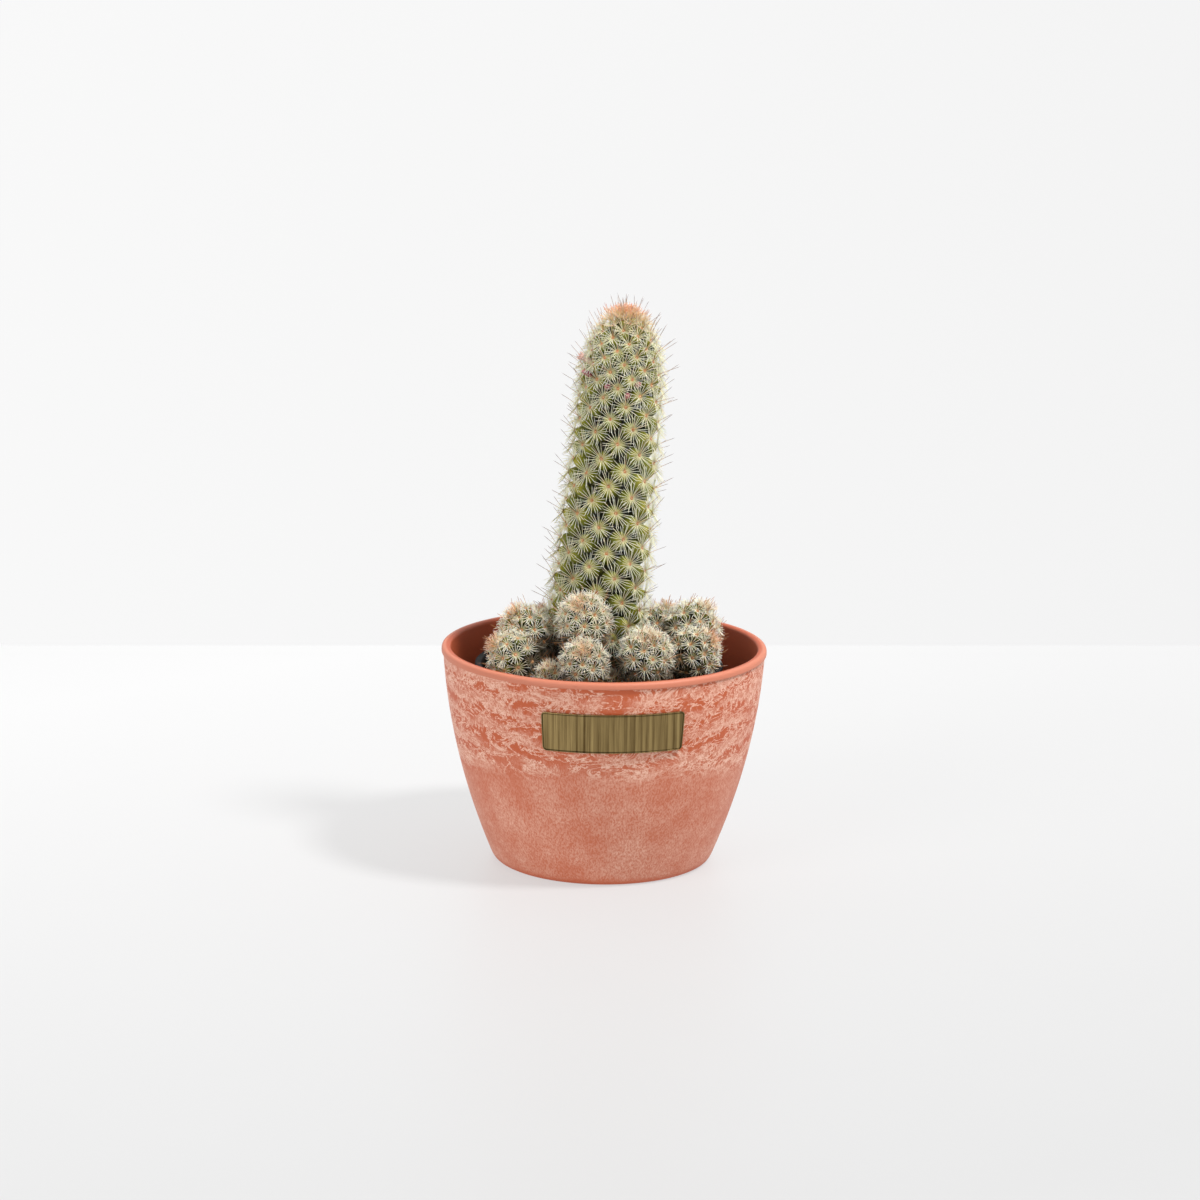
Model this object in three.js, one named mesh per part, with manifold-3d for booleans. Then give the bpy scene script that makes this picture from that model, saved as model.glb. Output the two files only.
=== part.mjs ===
// Potted lady finger cactus (Mammillaria), in millimetres, +Z up.
// The origin is the centre of the outer pot's flat base, and -Y is the front, where the plate is.
import * as THREE from "three";
import { ConvexHull } from "three/addons/math/ConvexHull.js";
import { mergeVertices } from "three/addons/utils/BufferGeometryUtils.js";
import Module from "manifold-3d";

const wasm = await Module();
wasm.setup();

// Clearance between pieces that rest against each other
const GAP = 0.3;

// Outer pot
const POT_HEIGHT = 94;
const POT_LIP_RADIUS = 70.2;
const POT_LIP_WIDTH = 4;
const POT_LIP_HEIGHT = 2.8;
const POT_LIP_STEP = 0.6; // how far the lip stands out from the wall below it
const POT_BASE_RADIUS = 47.3; // where the wall's curve meets the ground
const POT_BELLY_RADIUS = 67.3; // what the wall's curve is drawn towards at half height
const POT_LIP_ROUND = 1.54;
const POT_BASE_ROUND = 3;
const POT_STAND_RADIUS = 45.3; // of the flat that it stands on
const POT_FLOOR = 4;
const POT_SEGMENTS = 48;

// Brass plate, bent round the wall
const PLATE_WIDTH = 60;
const PLATE_HEIGHT = 17;
const PLATE_THICKNESS = 1;
const PLATE_MIDDLE = 72; // height of its centre
const PLATE_TURN = THREE.MathUtils.degToRad(3.6); // its centre lies this far round to the right
const PLATE_CORNER = 1.2;
const PLATE_COLUMNS = 12;
const PLATE_ROWS = 4;

// Nursery pot
const NURSERY_X = -2.2; // it stands a little to the left of the outer pot's axis
const NURSERY_TOP = 86;
const NURSERY_LIP_RADIUS = 53.7;
const NURSERY_LIP_WIDTH = 3;
const NURSERY_LIP_DROP = 6;
const NURSERY_BASE_RADIUS = 37;
const NURSERY_WALL = 1.2;
const NURSERY_EDGE = 0.6; // bevel round the lip's top
const NURSERY_SEGMENTS = 24;
const DRAIN_COUNT = 5;
const DRAIN_RADIUS = 3.5;
const DRAIN_CIRCLE = 24;
const DRAIN_SIDES = 8;

// Soil
const SOIL_TOP = 73;
const SOIL_DOME = 1.5; // how far its middle stands above its edge
const SOIL_LUMP = 0.35; // height of its lumps
// How steeply its lumps wave along X and Y, in radians to the millimetre
const SOIL_WAVES = [new THREE.Vector2(0.53, 0.61), new THREE.Vector2(0.21, -0.37)];
const SOIL_RINGS = [0.92, 0.6, 0.3, 0]; // of its top, as shares of its radius

// Plant
const DIVERGENCE = THREE.MathUtils.degToRad(137.45); // from each areole to the next, round the stem
const ROOT_SIDES = 8;
const ROOT_SEAM = 1e-3; // its last ring lies this far from its end
const ROOT_CUTTER_RISE = 10; // the tool that cuts its hole stands this far above the root's own length
const STEM_ROOT = 14; // depth of the main stem's root in the soil
const PUP_ROOT = 9;
const BARE_NECK = 3.5; // plain stretch above the soil
const NECK_HANG = [0.65, 1.3]; // how far down the belly reaches, crowded and stout
const AXIS_TOP = 0.38; // share of a head's height over which it keeps its crown's direction
const AXIS_BOTTOM = 0.3; // and over which it rises straight from its foot
const AXIS_UPRIGHT = 14; // but no more than this
const AREOLE_RADIUS = 0.8;
const AREOLE_SHARE = 0.16; // its radius is at most this share of the way to the next areole
const AREOLE_CROWN = 0.45; // how far its middle stands above its rim
const TUBERCLE_LEAN = THREE.MathUtils.degToRad(14); // its tip points this much above square
const TUBERCLE_SHIFT = 0.08; // and lies this share of the way to the next areole above its middle
const VALLEY_REACH = 0.6; // the last valleys lie at most this share of a pitch below the last areoles
const VALLEY_SPACE = 0.2; // and no two lie nearer than this share
const SKIRT_BELOW = 2.8; // from the last areoles to the ring that closes them off
const SKIRT_DEPTH = 2.1;
const SKIRT_SPACE = 2; // between that ring and the neck
const BUD_LENGTH = 4.4;
const BUD_RADIUS = 1.3;
const BUD_SIDES = 6;
const BUD_TAPER = 0.7; // it narrows above this share of its length, to this share of its width
const BUD_FOOT = 0.4; // height of its foot above the valley
const BUD_SPACE = 2.1; // from its middle to the nearest valley
const BALL_STEP = 3; // between the balls that stand for a head

// Spines, with their angles above the skin
const RADIAL_LENGTH = 6.2;
const CENTRAL_LENGTH = 9.5;
const RADIAL_RISE = 0.16;
const CROWN_RISE = 1;
const CENTRAL_RISE = 1.05;
const STEEPEST_RISE = 1.35;
const CENTRAL_TURN = THREE.MathUtils.degToRad(14); // the spine that heads this near to straight up
const YOUNG_CENTRAL = 0.75; // length of a central spine at the crown, as a share
const SPINE_VARIETY = [0.92, 1.04];
const SPINE_GAP = 0.5; // between one spine's middle line and another's
const SPINE_MIDDLE = 0.6; // where along it a spine is tried, besides its tip
const SPINE_ROOM = 1.5; // between a spine and the pots or the soil
// The ways to bend a spine clear of the others, in the order that they are tried
const SPINE_WAYS = [
  { rise: 0, turn: 0, share: 1 },
  { rise: 0, turn: 0.16, share: 1 },
  { rise: 0, turn: -0.16, share: 1 },
  { rise: 0.25, turn: 0, share: 1 },
  { rise: 0.25, turn: 0.25, share: 0.95 },
  { rise: 0.25, turn: -0.25, share: 0.95 },
  { rise: 0.5, turn: 0.1, share: 0.9 },
  { rise: 0.5, turn: -0.1, share: 0.9 },
  { rise: 0.3, turn: 0, share: 0.75 },
  { rise: 0.7, turn: 0, share: 0.7 },
];

// Main stem: measured where its tubercles end
const STEM_APEX = new THREE.Vector3(7.4, 0, 236.7);
const STEM_FACING = new THREE.Vector3(0.05, 0, 1);
const STEM_FOOT = new THREE.Vector2(-6.3, 0);
const STEM_SHOULDER = { radius: 17.4, below: 34 };
const STEM_BELLY = { radius: 20.45, below: 130 };
const STEM_NECK = 14;
const STEM_MARK = { areole: 86, angle: THREE.MathUtils.degToRad(-94) }; // one that faces the front
// Each bud grows in the valley nearest to its place here, with its angle in degrees
const STEM_BUDS = [
  { below: 18.9, angle: -162 },
  { below: 24.3, angle: -151 },
  { below: 28, angle: -112 },
  { below: 26, angle: -63 },
  { below: 31, angle: -79 },
  { below: 27, angle: 20 },
  { below: 31, angle: 96 },
  { below: 29, angle: 140 },
];

// Offsets round the stem's foot: the middle of each head, where its crown faces, its foot, and how
// stout it is below its head, from 0 where a neighbour crowds it to 1
const PUPS = [
  { head: [-33.5, -9.2, 102.2], facing: [-0.42, -0.5, 0.76], foot: [-30.6, -7.6], radius: 10.2, stout: 0.5 },
  { head: [-36, -28.8, 94.6], facing: [-0.85, -0.15, 0.51], foot: [-26, -24], radius: 10.6, stout: 0.5 },
  { head: [-22.5, -37.2, 86.8], facing: [-0.22, -0.7, 0.68], foot: [-19.6, -34.4], radius: 7.2, stout: 0.3 },
  { head: [-8.3, -31.6, 112.8], facing: [-0.15, -0.78, 0.61], foot: [-8, -25], radius: 10.4, stout: 0 },
  { head: [-8.6, -47, 98], facing: [0, -0.8, 0.6], foot: [-7, -39.6], radius: 9.1, stout: 0.1 },
  { head: [17, -37.8, 98.4], facing: [0.14, -0.6, 0.79], foot: [16.6, -31.5], radius: 10.5, stout: 0.6 },
  { head: [37, -17.2, 95], facing: [0.72, -0.38, 0.58], foot: [28, -13.4], radius: 10.3, stout: 0.3 },
  { head: [36.4, 6.5, 98.6], facing: [0.56, -0.16, 0.81], foot: [31, 8], radius: 12, stout: 0.9 },
  { head: [3.6, -38, 84.2], facing: [0.1, -0.5, 0.85], foot: [3.6, -38], radius: 5.5, stout: 0.3 },
  { head: [23, 28, 92.6], facing: [0.35, 0.1, 0.93], foot: [19.5, 25], radius: 10.6, stout: 1 },
  { head: [-1, 36, 91], facing: [0.05, 0.45, 0.88], foot: [-2, 32.5], radius: 9.8, stout: 0.8 },
  { head: [-24, 28, 91], facing: [-0.4, 0.3, 0.85], foot: [-20.5, 26.5], radius: 10.4, stout: 0.9 },
  { head: [-37, 9, 88], facing: [-0.5, 0.2, 0.85], foot: [-35, 9], radius: 8.4, stout: 0.8 },
];
const PUP_DOME = 1.1; // height of a head above its middle, as a share of its radius
const PUP_NECK = [0.5, 0.7]; // radius of its neck, crowded and stout, as shares
const PUP_BARE = 8; // height above the soil where its areoles end
const PUP_SPINY = 1.15; // or how far below its middle, as a share of its radius

// Random numbers from 0 to 1, the same each time
function seeded(seed) {
  let state = seed;
  return () => {
    state = (state * 1664525 + 1013904223) % 4294967296;
    return state / 4294967296;
  };
}

function solidOf(geometry) {
  const bare = geometry.clone();
  bare.deleteAttribute("normal");
  bare.deleteAttribute("uv");
  const merged = mergeVertices(bare, 1e-4);
  return new wasm.Manifold(
    new wasm.Mesh({
      numProp: 3,
      vertProperties: new Float32Array(merged.attributes.position.array),
      triVerts: new Uint32Array(merged.index.array),
    }),
  );
}

function geometryOf(solid) {
  const { vertProperties, triVerts } = solid.getMesh();
  return new THREE.BufferGeometry()
    .setAttribute("position", new THREE.BufferAttribute(vertProperties, 3))
    .setIndex(new THREE.BufferAttribute(triVerts, 1));
}

function namedMesh(name, geometry, finish) {
  const mesh = new THREE.Mesh(geometry, new THREE.MeshStandardMaterial(finish));
  mesh.name = name;
  return mesh;
}

// A profile of radius and height, turned about the Z axis
function turned(profile, segments) {
  return new THREE.LatheGeometry(profile, segments).rotateX(Math.PI / 2);
}

const at = (radius, height) => new THREE.Vector2(radius, height);

// The points of a curve from one point to another, drawn towards a third, without its first point
function curved(from, towards, to, steps) {
  return new THREE.QuadraticBezierCurve(from, towards, to).getPoints(steps).slice(1);
}

// The outer wall's radius at a height: the same quadratic curve that the profile draws
function potWallRadius(height) {
  const t = height / POT_HEIGHT;
  const top = POT_LIP_RADIUS - POT_LIP_STEP;
  return (1 - t) ** 2 * POT_BASE_RADIUS + 2 * t * (1 - t) * POT_BELLY_RADIUS + t ** 2 * top;
}

function potGeometry() {
  const lipFoot = POT_HEIGHT - POT_LIP_HEIGHT;
  const inside = POT_LIP_RADIUS - POT_LIP_WIDTH;
  const round = POT_LIP_ROUND;
  const middle = POT_HEIGHT / 2;
  const belly = 2 * potWallRadius(middle) - (potWallRadius(POT_BASE_ROUND) + potWallRadius(lipFoot)) / 2;
  const wallFoot = at(potWallRadius(POT_BASE_ROUND), POT_BASE_ROUND);
  const wallTop = at(potWallRadius(lipFoot), lipFoot);
  const base = at(POT_STAND_RADIUS, 0);
  const lipOuter = at(POT_LIP_RADIUS, POT_HEIGHT - round);
  const lipInner = at(inside + round, POT_HEIGHT);
  const wellTop = at(inside, POT_HEIGHT - round);
  const wellFoot = at(POT_BASE_RADIUS - POT_LIP_WIDTH, POT_FLOOR + POT_BASE_ROUND);
  const floorEdge = at(wellFoot.x - POT_BASE_ROUND, POT_FLOOR);
  const profile = [
    at(0, 0),
    base,
    ...curved(base, at(POT_BASE_RADIUS, 0), wallFoot, 2),
    ...curved(wallFoot, at(belly, middle), wallTop, 5),
    at(POT_LIP_RADIUS, lipFoot + POT_LIP_STEP),
    lipOuter,
    ...curved(lipOuter, at(POT_LIP_RADIUS, POT_HEIGHT), at(POT_LIP_RADIUS - round, POT_HEIGHT), 2),
    lipInner,
    ...curved(lipInner, at(inside, POT_HEIGHT), wellTop, 2),
    ...curved(wellTop, at(belly - POT_LIP_WIDTH, middle), wellFoot, 3),
    ...curved(wellFoot, at(wellFoot.x, POT_FLOOR), floorEdge, 2),
    at(0, POT_FLOOR),
  ];
  return turned(profile, POT_SEGMENTS);
}

// Spreads a box's lines over a length: the outermost at its ends, the next a corner further in
function spread(place, count, length) {
  const inner = 0.5 - 1 / count;
  if (Math.abs(place) > 0.5 - 0.5 / count) return (Math.sign(place) * length) / 2;
  return (place / inner) * (length / 2 - PLATE_CORNER);
}

// The plate is a box, bent so that its back follows the wall, with its four corners drawn in
function plateGeometry() {
  const box = new THREE.BoxGeometry(1, 1, 1, PLATE_COLUMNS, PLATE_ROWS, 1);
  const position = box.attributes.position;
  for (let i = 0; i < position.count; i++) {
    const across = spread(position.getX(i), PLATE_COLUMNS, PLATE_WIDTH);
    const up = spread(position.getY(i), PLATE_ROWS, PLATE_HEIGHT);
    const corner = Math.abs(across) === PLATE_WIDTH / 2 && Math.abs(up) === PLATE_HEIGHT / 2;
    const inset = corner ? PLATE_CORNER * (1 - Math.SQRT1_2) : 0;
    const height = PLATE_MIDDLE + up - Math.sign(up) * inset;
    const rise = position.getZ(i) < 0 ? GAP : GAP + PLATE_THICKNESS;
    const radius = potWallRadius(height) + rise;
    const angle = PLATE_TURN + (across - Math.sign(across) * inset) / potWallRadius(PLATE_MIDDLE);
    position.setXYZ(i, radius * Math.sin(angle), -radius * Math.cos(angle), height);
  }
  return box;
}

// The nursery pot's inner radius at a height above the outer pot's floor
function nurseryInnerRadius(height) {
  const top = NURSERY_LIP_RADIUS - NURSERY_LIP_WIDTH;
  const t = (height - POT_FLOOR) / (NURSERY_TOP - POT_FLOOR);
  return THREE.MathUtils.lerp(NURSERY_BASE_RADIUS - NURSERY_WALL, top, t);
}

function nurseryGeometry() {
  const floor = POT_FLOOR + NURSERY_WALL;
  const lip = NURSERY_TOP - NURSERY_WALL;
  const lipWall = NURSERY_LIP_RADIUS - NURSERY_WALL;
  const profile = [
    at(0, POT_FLOOR),
    at(NURSERY_BASE_RADIUS, POT_FLOOR),
    at(nurseryInnerRadius(lip) + NURSERY_WALL, lip),
    at(lipWall, lip),
    at(lipWall, NURSERY_TOP - NURSERY_LIP_DROP),
    at(NURSERY_LIP_RADIUS, NURSERY_TOP - NURSERY_LIP_DROP),
    at(NURSERY_LIP_RADIUS, NURSERY_TOP - NURSERY_EDGE),
    at(NURSERY_LIP_RADIUS - NURSERY_EDGE, NURSERY_TOP),
    at(nurseryInnerRadius(NURSERY_TOP), NURSERY_TOP),
    at(nurseryInnerRadius(floor), floor),
    at(0, floor),
  ];
  let pot = solidOf(turned(profile, NURSERY_SEGMENTS));
  const drain = new THREE.CylinderGeometry(DRAIN_RADIUS, DRAIN_RADIUS, 4 * NURSERY_WALL, DRAIN_SIDES);
  drain.rotateX(Math.PI / 2);
  for (let i = 0; i < DRAIN_COUNT; i++) {
    const angle = (i / DRAIN_COUNT) * 2 * Math.PI;
    const x = DRAIN_CIRCLE * Math.cos(angle);
    const y = DRAIN_CIRCLE * Math.sin(angle);
    pot = pot.subtract(solidOf(drain.clone().translate(x, y, POT_FLOOR)));
  }
  return geometryOf(pot).translate(NURSERY_X, 0, 0);
}

// The soil fills the nursery pot, crumbled on top, with a plain hole for each root
function soilGeometry(roots) {
  const floor = POT_FLOOR + NURSERY_WALL;
  const rim = SOIL_TOP - SOIL_DOME;
  const edge = nurseryInnerRadius(rim) - GAP;
  const profile = [at(0, floor), at(nurseryInnerRadius(floor) - GAP, floor), at(edge, rim)];
  for (const share of SOIL_RINGS) {
    profile.push(at(edge * share, SOIL_TOP + SOIL_DOME * (1 - share ** 2)));
  }
  const body = turned(profile, NURSERY_SEGMENTS);
  const position = body.attributes.position;
  const [fine, broad] = SOIL_WAVES;
  for (let i = 0; i < position.count; i++) {
    const x = position.getX(i);
    const y = position.getY(i);
    const z = position.getZ(i);
    if (z < SOIL_TOP) continue;
    const lumps = Math.sin(x * fine.x) * Math.sin(y * fine.y) + Math.sin(x * broad.x + y * broad.y);
    position.setZ(i, z + SOIL_LUMP * lumps);
  }
  let soil = solidOf(body.translate(NURSERY_X, 0, 0));
  for (const root of roots) soil = soil.subtract(solidOf(root));
  return geometryOf(soil);
}

// The outline of a head from its crown to the end of its root, as radius against height
function headOutline({ shoulder, belly, neck, stout, fullness, toSoil, rootDepth }) {
  const down = (across, fall) => at(across, -fall);
  const { radius, below } = shoulder;
  const bare = toSoil - BARE_NECK;
  const drop = (bare - belly.below) / 2;
  const hang = THREE.MathUtils.lerp(...NECK_HANG, stout);
  const outline = new THREE.CurvePath();
  outline.add(
    new THREE.CubicBezierCurve(
      down(0, 0),
      down(radius * fullness, 0),
      down(radius, below * (1 - fullness)),
      down(radius, below),
    ),
  );
  if (belly.below > below) {
    outline.add(new THREE.LineCurve(down(radius, below), down(belly.radius, belly.below)));
  }
  outline.add(
    new THREE.CubicBezierCurve(
      down(belly.radius, belly.below),
      down(belly.radius, belly.below + drop * hang),
      down(neck, bare - drop * (2 - hang)),
      down(neck, bare),
    ),
  );
  outline.add(new THREE.LineCurve(down(neck, bare), down(neck, toSoil + rootDepth)));
  return outline;
}

// The middle line of a head: from its crown, bending down to its foot, then straight into the soil
function headAxis(apex, facing, foot, rootDepth) {
  const reach = apex.z - SOIL_TOP;
  const ground = new THREE.Vector3(foot.x, foot.y, SOIL_TOP);
  const end = ground.clone().setZ(SOIL_TOP - rootDepth);
  const top = apex.clone().addScaledVector(facing, -reach * AXIS_TOP);
  const bottom = ground.clone().setZ(SOIL_TOP + Math.min(reach * AXIS_BOTTOM, AXIS_UPRIGHT));
  const axis = new THREE.CurvePath();
  axis.add(new THREE.CubicBezierCurve3(apex, top, bottom, ground));
  axis.add(new THREE.LineCurve3(ground, end));
  return axis;
}

// A head's skin: finds the point at a distance s along the outline from the crown, at an angle
// round the middle line, and raised by some height off the outline
class Skin {
  constructor(spec) {
    const { apex, facing, foot, rootDepth } = spec;
    this.axis = headAxis(apex, facing, foot, rootDepth);
    this.axisLength = this.axis.getLength();
    this.toSoil = this.axisLength - rootDepth;
    this.outline = headOutline({ ...spec, toSoil: this.toSoil });
    this.length = this.outline.getLength();
    this.steps = 400;
    this.step = this.length / this.steps;
    this.points = this.outline.getSpacedPoints(this.steps);
    // the map distance grows by ds / radius, which keeps small shapes alike on the flat map
    this.map = [0];
    for (let i = 1; i <= this.steps; i++) {
      const radius = (this.points[i].x + this.points[i - 1].x) / 2;
      this.map.push(this.map[i - 1] + this.step / radius);
    }
    this.mapMiddle = this.map[Math.round(this.steps / 2)];
    const lean = new THREE.Vector2(apex.x - foot.x, apex.y - foot.y);
    this.leanAngle = lean.length() > 1e-6 ? lean.angle() : 0;
    this.side = new THREE.Vector3(-Math.sin(this.leanAngle), Math.cos(this.leanAngle), 0);
  }

  ring(s) {
    const place = THREE.MathUtils.clamp(s / this.step, 0, this.steps - 1e-6);
    const i = Math.floor(place);
    const part = place - i;
    const from = this.points[i];
    const to = this.points[i + 1];
    const along = to.clone().sub(from).normalize();
    return {
      radius: THREE.MathUtils.lerp(from.x, to.x, part),
      below: -THREE.MathUtils.lerp(from.y, to.y, part),
      outward: new THREE.Vector2(-along.y, along.x),
      map: THREE.MathUtils.lerp(this.map[i], this.map[i + 1], part) - this.mapMiddle,
    };
  }

  // The distance s at which the outline has fallen this far below the crown
  alongAt(below) {
    const i = this.points.findIndex((point) => -point.y >= below);
    return i * this.step;
  }

  alongAtMap(map) {
    const i = this.map.findIndex((value) => value - this.mapMiddle >= map);
    return (i < 0 ? this.steps : i) * this.step;
  }

  point(s, angle, rise = 0) {
    const { radius, below, outward } = this.ring(s);
    const out = radius + rise * outward.x;
    const down = below - rise * outward.y;
    const onAxis = THREE.MathUtils.clamp(down / this.axisLength, 0, 1);
    const middle = this.axis.getPointAt(onAxis);
    const tangent = this.axis.getTangentAt(onAxis).negate();
    middle.addScaledVector(tangent, onAxis * this.axisLength - down);
    const turn = angle - this.leanAngle;
    const ahead = this.side.clone().cross(tangent).normalize();
    return middle
      .addScaledVector(ahead, out * Math.cos(turn))
      .addScaledVector(this.side, out * Math.sin(turn));
  }

  // Directions at a point of the skin: square to it, up towards the crown, and round the stem
  frame(s, angle) {
    const small = 0.05;
    const radius = Math.max(this.ring(s).radius, small);
    const here = this.point(s, angle);
    const up = this.point(Math.max(s - small, 0), angle).sub(here).normalize();
    const round = this.point(s, angle + small / radius).sub(here).normalize();
    const square = round.clone().cross(up).negate().normalize();
    if (square.dot(this.point(s, angle, 1).sub(here)) < 0) square.negate();
    return { here, up, round, square };
  }

  // The same point on a unit ball, where the nearest neighbours stay the nearest
  onBall(s, angle) {
    const spread = Math.exp(this.ring(s).map);
    const scale = 1 + spread * spread;
    return new THREE.Vector3(
      (2 * spread * Math.cos(angle)) / scale,
      (2 * spread * Math.sin(angle)) / scale,
      (1 - spread * spread) / scale,
    );
  }

  fromBall(ball) {
    const spread = Math.sqrt((1 - ball.z) / (1 + ball.z));
    return { s: this.alongAtMap(Math.log(spread)), angle: Math.atan2(ball.y, ball.x) };
  }
}

// Triangles over points on a ball, by the convex hull
function hullTriangles(balls) {
  const index = new Map(balls.map((ball, i) => [ball, i]));
  return new ConvexHull().setFromPoints(balls).faces.map((face) => {
    const first = face.edge;
    return [first, first.next, first.next.next].map((edge) => index.get(edge.head().point));
  });
}

// Areoles in a golden spiral from the crown down, each with its own share of the surface, in
// square millimetres at the crown, below where they are crowded, and where they are fully grown
function placeAreoles(skin, { phase, cell, spinyTo, first }) {
  const areoles = [];
  let count = first;
  for (let s = skin.step / 2; s < skin.alongAt(spinyTo); s += skin.step / 4) {
    const crowded = THREE.MathUtils.smoothstep(s, 0, cell.crowded);
    const aged = THREE.MathUtils.smoothstep(s, cell.ageing, cell.grown);
    const young = THREE.MathUtils.lerp(cell.crown, cell.shoulder, crowded);
    const share = THREE.MathUtils.lerp(young, cell.side, aged);
    count += (2 * Math.PI * skin.ring(s).radius * (skin.step / 4)) / share;
    if (count < areoles.length + 1) continue;
    const pitch = Math.sqrt(share);
    areoles.push({ s, angle: phase - DIVERGENCE * areoles.length, pitch, youth: 1 - crowded });
  }
  return areoles;
}

// The valleys between tubercles: one point where each three neighbours meet
function placeValleys(skin, areoles, depth) {
  const balls = areoles.map(({ s, angle }) => skin.onBall(s, angle));
  const valleys = [];
  for (const corners of hullTriangles(balls)) {
    const [a, b, c] = corners.map((i) => balls[i]);
    const normal = b.clone().sub(a).cross(c.clone().sub(a)).normalize();
    if (normal.dot(a) < 0) normal.negate();
    const { s, angle } = skin.fromBall(normal);
    const pitch = corners.reduce((sum, i) => sum + areoles[i].pitch, 0) / 3;
    const lowest = Math.max(...corners.map((i) => areoles[i].s));
    if (s > lowest + pitch * VALLEY_REACH) continue;
    const here = skin.point(s, angle);
    const crowded = valleys.some((other) => other.here.distanceTo(here) < pitch * VALLEY_SPACE);
    if (!crowded) valleys.push({ s, angle, rise: -depth * pitch, here });
  }
  return valleys;
}

// A patch of skin points round a place: a middle and rings, each with its radius and height
function patch(skin, s, angle, sides, rings, owner) {
  const { radius } = skin.ring(s);
  const points = [];
  for (const { out, rise } of rings) {
    const count = out === 0 ? 1 : sides;
    for (let i = 0; i < count; i++) {
      const turn = ((i + 0.5) / sides) * 2 * Math.PI;
      const along = s - out * Math.cos(turn);
      points.push({ s: along, angle: angle + (out * Math.sin(turn)) / radius, rise, owner, turn, out });
    }
  }
  return points;
}

function plainRing(s, rise, count) {
  return Array.from({ length: count }, (_, i) => ({ s, angle: (i / count) * 2 * Math.PI, rise }));
}

// Balls that fill a head, for keeping other heads' spines out of it
function fillingBalls(skin) {
  const balls = [];
  for (let below = BALL_STEP; below < skin.toSoil; below += BALL_STEP) {
    const { radius } = skin.ring(skin.alongAt(below));
    const centre = skin.axis.getPointAt(below / skin.axisLength);
    balls.push(new THREE.Sphere(centre, Math.min(radius, below)));
  }
  return balls;
}

function insidePots(point) {
  const fromPot = Math.hypot(point.x, point.y);
  const fromNursery = Math.hypot(point.x - NURSERY_X, point.y);
  const nurseryWall = nurseryInnerRadius(point.z) - SPINE_ROOM;
  if (point.z < SOIL_TOP + SOIL_DOME + SPINE_ROOM) return true;
  if (point.z < NURSERY_TOP + SPINE_ROOM && fromNursery > nurseryWall) return true;
  return point.z < POT_HEIGHT + SPINE_ROOM && fromPot > POT_LIP_RADIUS - POT_LIP_WIDTH - SPINE_ROOM;
}

// A head: its skin, and the triangles that its spines will grow from
function shapeHead(spec) {
  const skin = new Skin(spec);
  const areoles = placeAreoles(skin, spec);
  const points = [];
  areoles.forEach((areole, owner) => {
    const { s, angle, pitch } = areole;
    const out = Math.min(AREOLE_RADIUS, pitch * AREOLE_SHARE);
    const shift = Math.min(pitch * TUBERCLE_SHIFT, s / 3);
    const rings = [
      { out: 0, rise: 0 },
      { out, rise: -AREOLE_CROWN * (out / AREOLE_RADIUS) },
    ];
    points.push(...patch(skin, s - shift, angle, spec.sides, rings, owner));
  });
  const valleys = placeValleys(skin, areoles, spec.depth);
  for (const bud of spec.buds ?? []) {
    const place = skin.point(skin.alongAt(bud.below), THREE.MathUtils.degToRad(bud.angle));
    const away = valleys.map((valley) => valley.here.distanceTo(place));
    const { s, angle, rise } = valleys[away.indexOf(Math.min(...away))];
    const rings = [
      { out: 0, rise: rise + BUD_LENGTH },
      { out: BUD_RADIUS * BUD_TAPER, rise: rise + BUD_LENGTH * BUD_TAPER },
      { out: BUD_RADIUS, rise: rise + BUD_FOOT },
    ];
    points.push(...patch(skin, s, angle, BUD_SIDES, rings));
  }
  for (const valley of valleys) {
    const near = points.some(
      (other) =>
        other.owner === undefined &&
        skin.point(other.s, other.angle).distanceTo(valley.here) < BUD_SPACE,
    );
    if (!near) points.push(valley);
  }
  const neckEdge = skin.alongAt(skin.toSoil - BARE_NECK);
  const skirt = Math.min(skin.alongAt(spec.spinyTo) + SKIRT_BELOW, neckEdge - SKIRT_SPACE);
  points.push(...plainRing(skirt, -SKIRT_DEPTH, ROOT_SIDES));
  points.push(...plainRing(neckEdge, 0, ROOT_SIDES));
  points.push(...plainRing(skin.length - ROOT_SEAM, 0, ROOT_SIDES));
  const corners = points.map(({ s, angle, rise }) => skin.point(s, angle, rise));
  const balls = points.map(({ s, angle }) => skin.onBall(s, angle));
  corners.push(skin.axis.getPointAt(1));
  balls.push(new THREE.Vector3(0, 0, -1));
  points.push({});
  return { spec, skin, areoles, points, corners, faces: hullTriangles(balls), spines: [] };
}

// Every spine of the plant so far
const allSpines = [];

// A spine is clear if it keeps off the pots, the other heads and the spines of other areoles
function isClear(line, head, areole, heads) {
  const middle = line.at(SPINE_MIDDLE, new THREE.Vector3());
  if (insidePots(line.end) || insidePots(middle)) return false;
  for (const other of heads) {
    if (other === head) continue;
    for (const ball of other.balls) {
      if (ball.distanceToPoint(line.end) < SPINE_GAP) return false;
      if (ball.distanceToPoint(middle) < SPINE_GAP) return false;
    }
  }
  return allSpines.every((spine) => {
    if (spine.areole === areole) return true;
    if (spine.line.start.distanceTo(line.start) > 2 * CENTRAL_LENGTH) return true;
    return spine.line.distanceSqToLine3(line) > SPINE_GAP ** 2;
  });
}

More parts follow.
